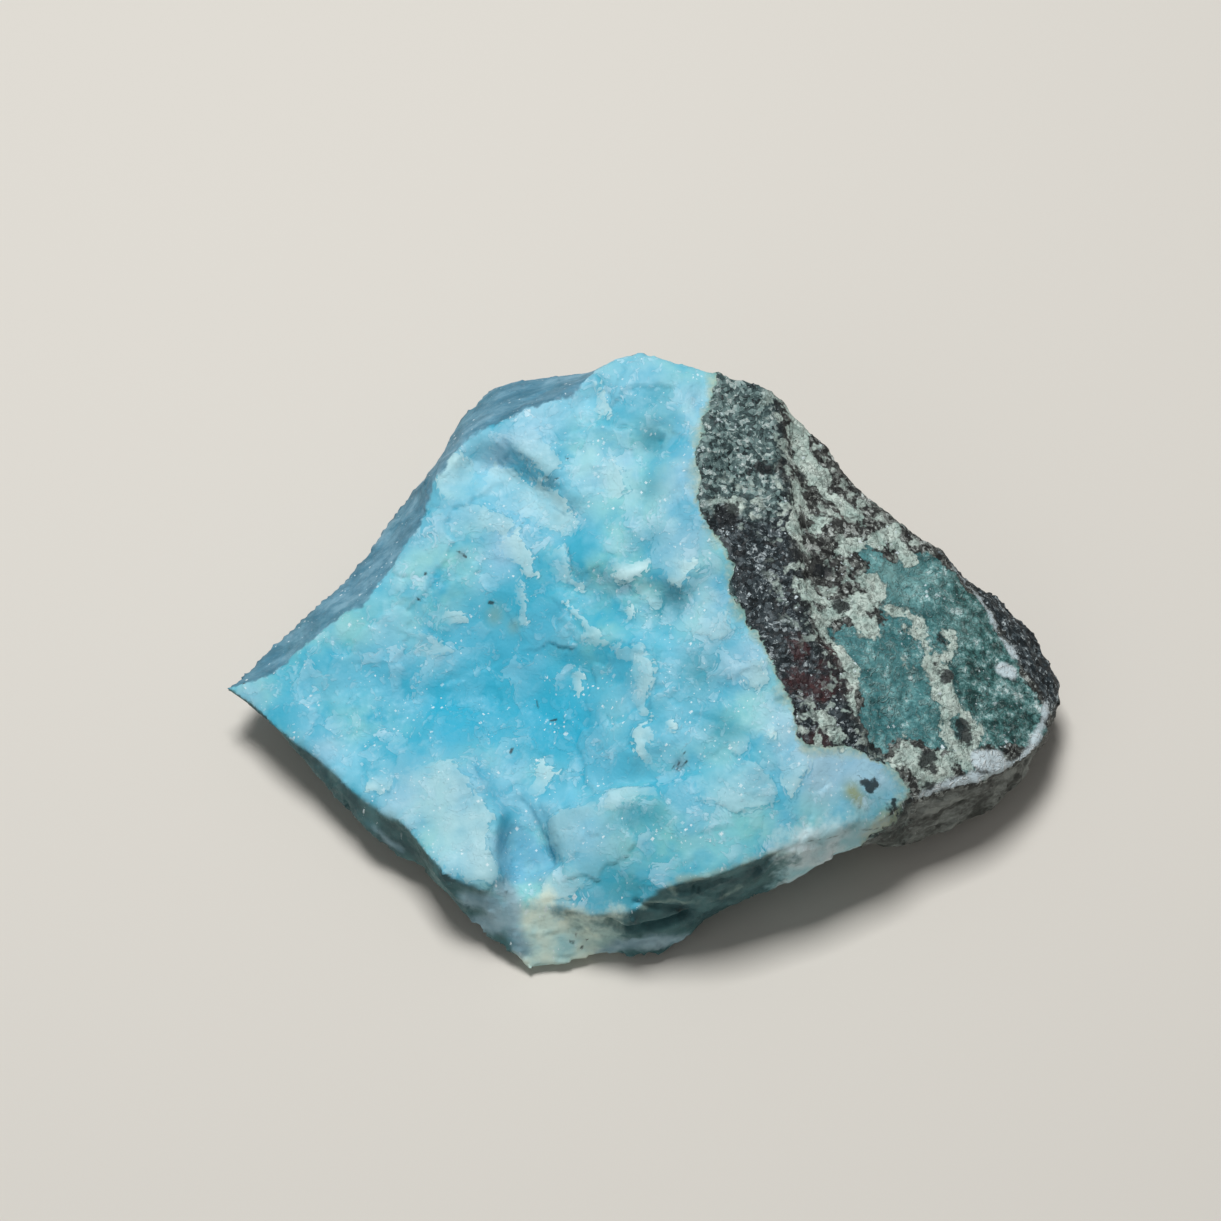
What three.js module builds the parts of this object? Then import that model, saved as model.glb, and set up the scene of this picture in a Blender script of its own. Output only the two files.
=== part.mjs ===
// Rough larimar: one broken piece of blue pectolite grown on dark wall rock.
// Millimetres, +Z up. The stone rests on its flat underside facet at z = 0, its long way lies
// along X, and the origin is under the middle of its box.

import * as THREE from 'three';

// Size of the triangles, in mm
const faceStep = 0.68;        // on the broken face, which shows most
const wallStep = 1.5;         // on the sides and the underside
const restStep = 1.4 * wallStep;   // on the flat rest facet; past 1.5 the halving would never end
const rimStep = 0.62;         // between points along the rim
const lineStep = 0.6;         // between points along a ridge line
const closestPoints = 0.26;   // nearer points of the survey count as one
const clearOfRim = 0.42;      // the survey's ridges stop this far from the rim

// Underside, as shares of the way in from the belly to the middle of the stone
const middle = [0.4, -0.3];
const heelInset = 0.15;
const restInset = 0.34;
const restSkip = 3;           // one corner of the rest facet for so many stations
const heelRise = 0.42;        // height of the heel, as a share of the belly's height

// Roughness of the break, in mm
const rimRough = 0.07;
const faceRough = 0.11;
const wallRough = 0.14;
const hiddenRough = 0.42;
const chips = { large: 4.6, medium: 1.9, small: 0.95 };   // width of a chip
const chipTilt = 1.6;
const coarseShare = 0.9;
const fineShare = 0.45;
const floorGap = 0.02;        // the roughened underside stays this far above the rest facet

const larimarBlue = 0x7cc4d8;

// Outline, clockwise from the left tip as seen from above. Each station has a rim point, where the
// broken face ends, and a belly point, where the side below it stands out furthest.
const upperLeftBand = [
  { rim: [-15.2, -0.4, 2.4], belly: [-15.4, -0.3, 2.1] },
  { rim: [-13.3, -0.2, 3.1], belly: [-14.0, 1.3, 2.0] },
  { rim: [-11.8, 0.9, 3.8], belly: [-12.7, 2.4, 2.6] },
  { rim: [-9.9, 2.0, 4.6], belly: [-11.0, 3.8, 3.0] },
  { rim: [-8.6, 3.6, 5.3], belly: [-9.7, 5.4, 3.5] },
  { rim: [-7.8, 4.9, 5.9], belly: [-8.6, 6.9, 4.1] },
  { rim: [-7.4, 6.1, 6.4], belly: [-7.7, 7.8, 4.8] },
];

const raisedBlock = [
  { rim: [-6.5, 7.3, 7.0], belly: [-6.8, 9.6, 5.3] },
  { rim: [-5.3, 7.9, 7.6], belly: [-5.7, 10.6, 5.7] },
  { rim: [-3.8, 8.1, 8.1], belly: [-3.7, 10.5, 6.4] },
  { rim: [-2.3, 8.9, 8.4], belly: [-2.0, 10.2, 7.2] },
];

const summitBack = [
  { rim: [-1.2, 9.6, 8.8], belly: [-0.9, 10.6, 6.0] },
  { rim: [-0.2, 9.8, 9.0], belly: [0.3, 10.9, 5.2] },
  { rim: [1.6, 9.1, 9.1], belly: [2.0, 10.5, 4.6] },
  { rim: [2.5, 8.8, 9.1], belly: [3.2, 10.3, 4.4] },
  { rim: [3.8, 8.6, 8.9], belly: [4.3, 9.9, 4.2] },
  { rim: [4.8, 8.3, 8.2], belly: [5.3, 9.5, 4.0] },
  { rim: [5.5, 7.7, 7.5], belly: [6.0, 9.0, 3.8] },
  { rim: [6.6, 6.8, 6.9], belly: [7.0, 8.0, 3.6] },
  { rim: [8.0, 5.4, 6.1], belly: [8.3, 6.6, 3.4] },
  { rim: [9.1, 4.5, 5.7], belly: [9.5, 5.4, 3.3] },
];

const rightShoulder = [
  { rim: [10.5, 4.0, 5.1], belly: [10.9, 4.2, 4.5] },
  { rim: [11.1, 3.2, 4.8], belly: [11.9, 3.3, 3.7] },
  { rim: [12.0, 2.1, 4.4], belly: [13.1, 2.9, 3.2] },
  { rim: [12.9, 0.5, 3.9], belly: [14.1, 1.9, 2.6] },
  { rim: [13.7, -0.7, 3.5], belly: [14.8, 0.6, 2.1] },
  { rim: [14.6, -1.3, 2.7], belly: [15.0, -0.6, 1.9] },
  { rim: [14.0, -3.3, 2.7], belly: [14.4, -2.1, 1.5] },
];

const frontRightWall = [
  { rim: [12.7, -4.4, 3.3], belly: [13.3, -3.8, 1.3] },
  { rim: [11.4, -5.1, 3.7], belly: [12.7, -4.5, 0.8] },
  { rim: [10.3, -5.6, 3.9], belly: [10.8, -5.5, 1.0] },
  { rim: [9.4, -6.0, 4.0], belly: [9.3, -6.3, 1.3] },
  { rim: [8.3, -6.8, 4.1], belly: [8.0, -7.1, 2.9] },
  { rim: [7.1, -7.2, 4.4], belly: [7.5, -7.6, 3.0] },
  { rim: [6.0, -7.7, 4.5], belly: [6.1, -8.0, 3.2] },
  { rim: [4.8, -8.3, 4.5], belly: [4.9, -8.1, 1.9] },
  { rim: [3.2, -8.9, 4.4], belly: [3.3, -8.9, 1.6] },
  { rim: [1.8, -9.3, 4.2], belly: [1.9, -9.2, 1.2] },
  { rim: [0.5, -9.5, 3.9], belly: [1.4, -9.7, 0.8] },
];

const frontTip = [
  { rim: [-0.6, -10.0, 2.9], belly: [0.4, -10.1, 0.4] },
  { rim: [-2.0, -9.9, 2.5], belly: [-1.5, -10.3, 0.3] },
  { rim: [-3.5, -9.3, 2.6], belly: [-2.7, -10.7, 0.3] },
  { rim: [-4.5, -9.2, 2.5], belly: [-4.2, -10.9, 0.3] },
  { rim: [-5.2, -8.8, 3.0], belly: [-5.1, -10.2, 0.6] },
];

const lowerLeftUndercut = [
  { rim: [-5.9, -8.9, 3.1], belly: [-5.9, -9.5, 0.8] },
  { rim: [-7.2, -8.4, 3.1], belly: [-6.8, -8.4, 1.0] },
  { rim: [-8.0, -7.4, 3.0], belly: [-7.9, -7.2, 1.2] },
  { rim: [-8.9, -6.1, 3.0], belly: [-8.9, -6.7, 1.0] },
  { rim: [-9.9, -5.4, 2.9], belly: [-9.9, -6.0, 1.3] },
  { rim: [-11.1, -4.1, 2.8], belly: [-10.8, -4.8, 1.5] },
  { rim: [-12.4, -2.9, 2.7], belly: [-11.7, -3.8, 1.5] },
  { rim: [-13.7, -1.9, 2.6], belly: [-12.9, -2.2, 1.9] },
];

const outline = [
  ...upperLeftBand,
  ...raisedBlock,
  ...summitBack,
  ...rightShoulder,
  ...frontRightWall,
  ...frontTip,
  ...lowerLeftUndercut,
];

// Ridges, ledges and grooves that cross the broken face
const ridgeLines = {
  blockLip: [[-6.5, 7.2, 6.9], [-5.6, 7.3, 7.4], [-4.9, 6.8, 7.7], [-3.5, 5.5, 7.6], [-2.1, 4.4, 7.1]],
  blockGroove: [[-6.4, 6.6, 6.2], [-5.4, 6.7, 6.2], [-4.8, 6.3, 6.3], [-3.8, 5.4, 6.4], [-2.4, 4.0, 6.6]],
  domeValley: [[-2.0, 8.9, 8.2], [-2.3, 7.6, 7.8], [-2.5, 6.3, 7.5]],
  domePits: [[-1.3, 5.9, 7.7], [0.3, 6.3, 8.1], [-0.2, 4.9, 7.9]],
  plateEdge: [[-1.7, 2.0, 6.8], [-0.8, 1.4, 6.9], [0.2, 1.5, 7.1], [1.2, 0.8, 7.2], [2.0, 1.5, 7.6]],
  plateFoot: [[-1.7, 1.6, 6.2], [-0.6, 1.0, 6.3], [0.3, 1.1, 6.5], [1.1, 0.4, 6.4], [1.9, 0.9, 6.9]],
  bowlRidge: [[-3.6, 1.7, 5.8], [-2.0, 0.0, 5.9], [-0.8, -0.8, 6.1], [0.1, -1.3, 6.3], [0.2, -2.7, 5.9],
    [-0.3, -4.8, 5.1]],
  behindRidge: [[-2.4, 1.6, 5.9], [-1.3, 0.4, 5.8], [0.1, -0.3, 6.1], [0.9, -1.2, 6.2]],
  lipEdge: [[-6.4, -4.7, 3.9], [-5.7, -5.7, 3.8], [-5.2, -6.5, 3.8], [-5.4, -7.8, 3.4], [-5.1, -8.4, 3.2]],
  lipFoot: [[-6.0, -4.2, 3.6], [-5.3, -5.2, 3.3], [-4.7, -6.0, 3.0], [-4.9, -7.3, 2.5], [-4.6, -8.2, 2.3]],
  gully: [[-4.1, -5.7, 3.2], [-3.6, -7.0, 2.7], [-3.2, -7.8, 2.4]],
  slabEdge: [[-3.5, -5.8, 3.7], [-3.2, -7.0, 3.6], [-2.9, -8.0, 3.4], [-3.3, -8.8, 2.9]],
  slabLip: [[-2.7, -6.3, 4.1], [-1.8, -6.6, 4.3], [-1.4, -6.2, 4.6], [0.4, -6.2, 5.1]],
  aboveSlab: [[-2.9, -5.4, 3.7], [-1.5, -5.6, 4.0], [-1.1, -5.6, 4.3], [0.5, -5.6, 4.7]],
  borderEdge: [[2.3, 7.9, 8.9], [1.9, 5.9, 9.0], [1.8, 4.5, 8.7], [2.0, 2.9, 8.4]],
  borderLow: [[3.1, 1.3, 7.9], [3.6, -0.7, 7.4], [4.5, -2.1, 7.0], [5.0, -3.5, 6.6], [5.5, -5.0, 5.9]],
  rockCrest: [[4.8, 7.4, 8.3], [5.0, 4.9, 8.0], [5.3, 1.7, 7.6], [5.9, -1.2, 6.9], [7.1, -3.6, 6.1],
    [7.6, -4.7, 5.5]],
  rockScarpFoot: [[5.3, 6.8, 7.5], [5.6, 4.5, 7.1], [5.9, 0.5, 6.7], [6.5, -1.2, 6.4]],
};

// Single heights between the ridges
const faceSpots = {
  block: [[-4.6, 7.4, 7.9], [-3.2, 7.0, 7.9]],
  dome: [[0.8, 8.6, 9.1], [-1.0, 8.5, 8.7], [-0.2, 7.2, 8.7], [1.3, 7.2, 9.0]],
  upperFace: [[-1.7, 3.5, 7.1], [0.1, 3.3, 7.6], [-5.3, 4.3, 6.2], [-3.8, 3.4, 6.4], [-6.7, 3.8, 5.8],
    [-7.8, 2.5, 5.1], [-6.0, 2.1, 5.1], [-3.1, 2.6, 6.3]],
  bowl: [[-7.8, 0.5, 4.2], [-6.0, 0.1, 4.1], [-3.8, -0.2, 4.6], [-2.0, -1.5, 4.7], [-8.1, -1.5, 3.3],
    [-6.3, -1.5, 3.4], [-4.2, -2.1, 3.7], [-2.4, -3.6, 4.0], [-5.2, -3.4, 3.4], [-9.6, -0.8, 3.5]],
  leftFace: [[-10.6, -2.2, 3.2], [-11.7, -1.0, 3.2], [-8.8, -3.0, 3.1], [-12.3, -2.0, 2.9]],
  lip: [[-10.5, -3.7, 2.9], [-9.1, -5.0, 3.1], [-8.4, -4.4, 3.4], [-7.3, -4.3, 3.8], [-6.9, -6.9, 3.3]],
  slab: [[-1.0, -7.4, 4.3], [1.1, -7.7, 4.8], [3.2, -7.5, 5.1], [-1.0, -8.7, 3.7], [1.5, -8.6, 4.5]],
  lowerRight: [[1.8, -2.4, 6.1], [1.8, -4.6, 5.6], [3.2, -5.4, 5.7], [3.9, -3.3, 6.3], [5.3, -6.3, 5.4],
    [2.6, -0.4, 6.9]],
  greenFace: [[7.3, 3.3, 6.5], [9.1, 2.9, 5.8], [7.9, 0.9, 6.2], [10.1, 1.5, 5.3], [8.2, -1.4, 5.8],
    [10.8, -0.7, 4.7], [8.9, -3.3, 5.0], [11.1, -2.9, 4.3], [12.2, -1.5, 4.0], [11.7, 0.3, 4.5]],
  lobe: [[6.4, -5.5, 5.5], [7.7, -5.7, 5.1], [7.4, -6.4, 4.9], [8.8, -5.6, 4.6], [9.8, -4.9, 4.5]],
};

// A repeatable number from 0 to 1 for a cell of space
function cellValue(x, y, z, channel) {
  const mixed = Math.sin(x * 127.1 + y * 311.7 + z * 74.7 + channel * 183.3) * 43758.5453;
  return mixed - Math.floor(mixed);
}

// Height of a chipped surface, from -1 to 1: flat chips, each with its own tilt and level
function chipHeight(point, size) {
  const cell = point.map((value) => Math.floor(value / size));
  let nearest = Infinity;
  let height = 0;
  for (let i = -1; i <= 1; i += 1) {
    for (let j = -1; j <= 1; j += 1) {
      for (let k = -1; k <= 1; k += 1) {
        const at = [cell[0] + i, cell[1] + j, cell[2] + k];
        const away = at.map((value, axis) => point[axis] / size - value - cellValue(...at, axis));
        const distance = Math.hypot(...away);
        if (distance < nearest) {
          nearest = distance;
          const tilt = away.reduce((sum, value, axis) => sum + value * (cellValue(...at, axis + 3) - 0.5), 0);
          height = chipTilt * tilt + cellValue(...at, 6) - 0.5;
        }
      }
    }
  }
  return height;
}

function planDistance(a, b) {
  return Math.hypot(a[0] - b[0], a[1] - b[1]);
}

function between(a, b, share) {
  return a.map((value, axis) => value + (b[axis] - value) * share);
}

// Points along a line of the survey, no further apart than the step
function walk(line, step) {
  const points = [line[0]];
  for (let index = 1; index < line.length; index += 1) {
    const parts = Math.ceil(planDistance(line[index - 1], line[index]) / step);
    for (let part = 1; part <= parts; part += 1) {
      points.push(between(line[index - 1], line[index], part / parts));
    }
  }
  return points;
}

function insideOutline(x, y, loop) {
  let inside = false;
  for (let index = 0; index < loop.length; index += 1) {
    const a = loop[index];
    const b = loop[(index + 1) % loop.length];
    if ((a[1] > y) !== (b[1] > y) && x < a[0] + ((b[0] - a[0]) * (y - a[1])) / (b[1] - a[1])) {
      inside = !inside;
    }
  }
  return inside;
}

// Circle through a triangle's corners in plan
function roundCircle(a, b, c) {
  const bx = b[0] - a[0];
  const by = b[1] - a[1];
  const cx = c[0] - a[0];
  const cy = c[1] - a[1];
  const twiceArea = 2 * (bx * cy - by * cx);
  const x = (cy * (bx * bx + by * by) - by * (cx * cx + cy * cy)) / twiceArea;
  const y = (bx * (cx * cx + cy * cy) - cx * (bx * bx + by * by)) / twiceArea;
  return { x: a[0] + x, y: a[1] + y, radius: Math.hypot(x, y) };
}

// Delaunay triangles over the points' plan, made by adding one point after another
function joinInPlan(points) {
  const far = 4000;
  const all = [...points, [-far, -far], [far, -far], [0, far]];
  const corner = points.length;
  const make = (a, b, c) => ({ corners: [a, b, c], circle: roundCircle(all[a], all[b], all[c]) });
  let triangles = [make(corner, corner + 1, corner + 2)];
  points.forEach((point, index) => {
    const hit = [];
    const kept = [];
    for (const triangle of triangles) {
      const { x, y, radius } = triangle.circle;
      (Math.hypot(point[0] - x, point[1] - y) < radius ? hit : kept).push(triangle);
    }
    const edges = new Map();
    for (const { corners } of hit) {
      corners.forEach((from, side) => {
        const to = corners[(side + 1) % 3];
        if (!edges.delete(`${to},${from}`)) {
          edges.set(`${from},${to}`, [from, to]);
        }
      });
    }
    triangles = [...kept, ...[...edges.values()].map(([from, to]) => make(from, to, index))];
  });
  return triangles.map(({ corners }) => corners).filter((corners) => Math.max(...corners) < corner);
}

// Triangles between two loops that run the same way round. A loop lists vertex numbers, each with its
// turn, which is its place among the stations of the outline.
function joinLoops(upper, lower) {
  const triangles = [];
  const turnOf = (loop, index) => {
    const laps = Math.floor(index / loop.length);
    return loop[index % loop.length].turn + laps * outline.length;
  };
  const vertexOf = (loop, index) => loop[index % loop.length].vertex;
  let i = 0;
  let j = 0;
  while (i < upper.length || j < lower.length) {
    const above = vertexOf(upper, i);
    const below = vertexOf(lower, j);
    if (j >= lower.length || (i < upper.length && turnOf(upper, i + 1) <= turnOf(lower, j + 1))) {
      triangles.push([above, vertexOf(upper, i + 1), below]);
      i += 1;
    } else {
      triangles.push([above, vertexOf(lower, j + 1), below]);
      j += 1;
    }
  }
  return triangles;
}

// Triangles of the broken face. The rim's points come first.
function faceTriangles(rimPoints) {
  const points = [...rimPoints];
  const wanted = [...Object.values(ridgeLines).flatMap((line) => walk(line, lineStep)),
    ...Object.values(faceSpots).flat()];
  for (const point of wanted) {
    const clear = points.every((other, index) => (
      planDistance(point, other) > (index < rimPoints.length ? clearOfRim : closestPoints)));
    if (clear && insideOutline(point[0], point[1], rimPoints)) {
      points.push(point);
    }
  }
  const triangles = joinInPlan(points).filter((corners) => {
    const x = corners.reduce((sum, corner) => sum + points[corner][0], 0) / 3;
    const y = corners.reduce((sum, corner) => sum + points[corner][1], 0) / 3;
    return insideOutline(x, y, rimPoints);
  });
  return { points, triangles };
}

// The survey as one coarse closed stone. A vertex is x, y, z, roughness and 1 if it is on the face.
function surveyedStone() {
  const vertices = [];
  const addLoop = (points, turns) => points.map((point, index) => (
    { vertex: vertices.push(point) - 1, turn: turns[index] }));

  const rimPoints = [];
  const rimTurns = [];
  outline.forEach(({ rim }, index) => {
    const stretch = walk([rim, outline[(index + 1) % outline.length].rim], rimStep).slice(0, -1);
    rimPoints.push(...stretch);
    rimTurns.push(...stretch.map((point, part) => index + part / stretch.length));
  });
  const face = faceTriangles(rimPoints);
  const rimLoop = addLoop(rimPoints.map((point) => [...point, rimRough, 1]), rimTurns);
  vertices.push(...face.points.slice(rimPoints.length).map((point) => [...point, faceRough, 1]));

  // Sides and underside
  const inward = ([x, y], share) => between([x, y], middle, share);
  const turns = outline.map((station, index) => index);
  const bellyLoop = addLoop(outline.map((station) => (
    [...station.belly, summitBack.includes(station) ? hiddenRough : wallRough, 0])), turns);
  const heelLoop = addLoop(outline.map(({ belly }) => (
    [...inward(belly, heelInset), belly[2] * heelRise, hiddenRough, 0])), turns);
  const restTurns = turns.filter((turn) => turn % restSkip === 0);
  const restLoop = addLoop(restTurns.map((turn) => (
    [...inward(outline[turn].belly, restInset), 0, 0, 0])), restTurns);
  const restMiddle = vertices.push([...middle, 0, 0, 0]) - 1;
  const restFacet = restLoop.map(({ vertex }, index) => (
    [restMiddle, vertex, restLoop[(index + 1) % restLoop.length].vertex]));

  const sides = [[rimLoop, bellyLoop], [bellyLoop, heelLoop], [heelLoop, restLoop]];
  const sideTriangles = sides.flatMap(([upper, lower]) => joinLoops(upper, lower));
  return { vertices, triangles: [...face.triangles, ...sideTriangles, ...restFacet] };
}

// Halves every edge that is longer than its place allows, until none is left
function refine({ vertices, triangles }) {
  const allowed = (a, b) => {
    if (a[2] === 0 && b[2] === 0) {
      return restStep;
    }
    return a[4] === 1 && b[4] === 1 ? faceStep : wallStep;
  };
  let current = triangles;
  for (let split = true; split;) {
    split = false;
    const middles = new Map();
    const halved = (from, to) => {
      const key = from < to ? `${from},${to}` : `${to},${from}`;
      if (!middles.has(key)) {
        const a = vertices[from];
        const b = vertices[to];
        const length = Math.hypot(a[0] - b[0], a[1] - b[1], a[2] - b[2]);
        middles.set(key, length > allowed(a, b) ? vertices.push(between(a, b, 0.5)) - 1 : -1);
      }
      return middles.get(key);
    };
    const finer = [];
    for (const [a, b, c] of current) {
      const ab = halved(a, b);
      const bc = halved(b, c);
      const ca = halved(c, a);
      const cuts = [ab, bc, ca].filter((index) => index >= 0).length;
      split = split || cuts > 0;
      if (cuts === 3) {
        finer.push([a, ab, ca], [ab, b, bc], [ca, bc, c], [ab, bc, ca]);
      } else if (cuts === 0) {
        finer.push([a, b, c]);
      } else {
        // Turned so that the first edge is cut and the last one isn't
        const turns = [[a, b, c, ab, bc, ca], [b, c, a, bc, ca, ab], [c, a, b, ca, ab, bc]];
        const [p, q, r, pq, qr] = turns.find(([, , , first, , last]) => first >= 0 && last < 0);
        if (qr >= 0) {
          finer.push([p, pq, r], [pq, q, qr], [pq, qr, r]);
        } else {
          finer.push([p, pq, r], [pq, q, r]);
        }
      }
    }
    current = finer;
  }
  return { vertices, triangles: current };
}

// Moves the surface in and out as a chipped break does. The rest facet stays flat.
function roughen({ vertices, triangles }) {
  const normals = vertices.map(() => new THREE.Vector3());
  triangles.forEach((triangle) => {
    const [a, b, c] = triangle.map((index) => new THREE.Vector3(...vertices[index]));
    const normal = b.clone().sub(a).cross(c.clone().sub(a));
    triangle.forEach((vertex) => normals[vertex].add(normal));
  });
  return vertices.map(([x, y, z, rough, onFace], index) => {
    if (z === 0) {
      return [x, y, 0];
    }
    const point = [x, y, z];
    const coarse = onFace > 0.5 ? chips.medium : chips.large;
    const fine = onFace > 0.5 ? chips.small : chips.medium;
    const lift = rough * (coarseShare * chipHeight(point, coarse) + fineShare * chipHeight(point, fine));
    const moved = normals[index].normalize().multiplyScalar(lift).add(new THREE.Vector3(...point));
    return [moved.x, moved.y, Math.max(moved.z, floorGap)];
  });
}

function stoneGeometry() {
  const shape = refine(surveyedStone());
  const places = roughen(shape);
  const geometry = new THREE.BufferGeometry();
  geometry.setAttribute('position', new THREE.Float32BufferAttribute(places.flat(), 3));
  geometry.setIndex(shape.triangles.flat());
  geometry.computeBoundingBox();
  const { min, max } = geometry.boundingBox;
  geometry.translate(-(min.x + max.x) / 2, -(min.y + max.y) / 2, 0);
  return geometry;
}

function larimarStone() {
  const material = new THREE.MeshStandardMaterial({ color: larimarBlue, roughness: 0.45, metalness: 0 });
  const stone = new THREE.Mesh(stoneGeometry(), material);
  stone.name = 'larimar_stone';
  return stone;
}

const part = new THREE.Group();
part.add(larimarStone());

export default part;
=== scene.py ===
import math

import bmesh
import bpy
import numpy as np
from mathutils import Matrix, Vector, noise


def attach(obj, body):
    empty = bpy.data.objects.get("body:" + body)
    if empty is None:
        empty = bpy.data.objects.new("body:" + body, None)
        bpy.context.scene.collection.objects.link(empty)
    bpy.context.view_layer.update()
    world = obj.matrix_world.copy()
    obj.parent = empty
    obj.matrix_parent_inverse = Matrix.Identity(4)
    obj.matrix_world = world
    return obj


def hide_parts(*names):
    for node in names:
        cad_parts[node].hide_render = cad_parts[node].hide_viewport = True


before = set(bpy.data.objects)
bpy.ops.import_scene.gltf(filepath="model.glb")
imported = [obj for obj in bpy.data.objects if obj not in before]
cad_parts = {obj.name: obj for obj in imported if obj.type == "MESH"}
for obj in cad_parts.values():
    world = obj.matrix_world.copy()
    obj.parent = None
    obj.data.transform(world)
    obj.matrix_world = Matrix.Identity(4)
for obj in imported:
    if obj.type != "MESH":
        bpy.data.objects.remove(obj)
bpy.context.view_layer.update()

# Rough larimar: sky-blue pectolite broken off with its dark wall rock. The stone is worked on in
# millimetres: x runs to the green end, y to the back and z up. It goes back to metres at the end.
mm = 0.001
print("frame loaded, nodes:", sorted(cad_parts))

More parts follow.
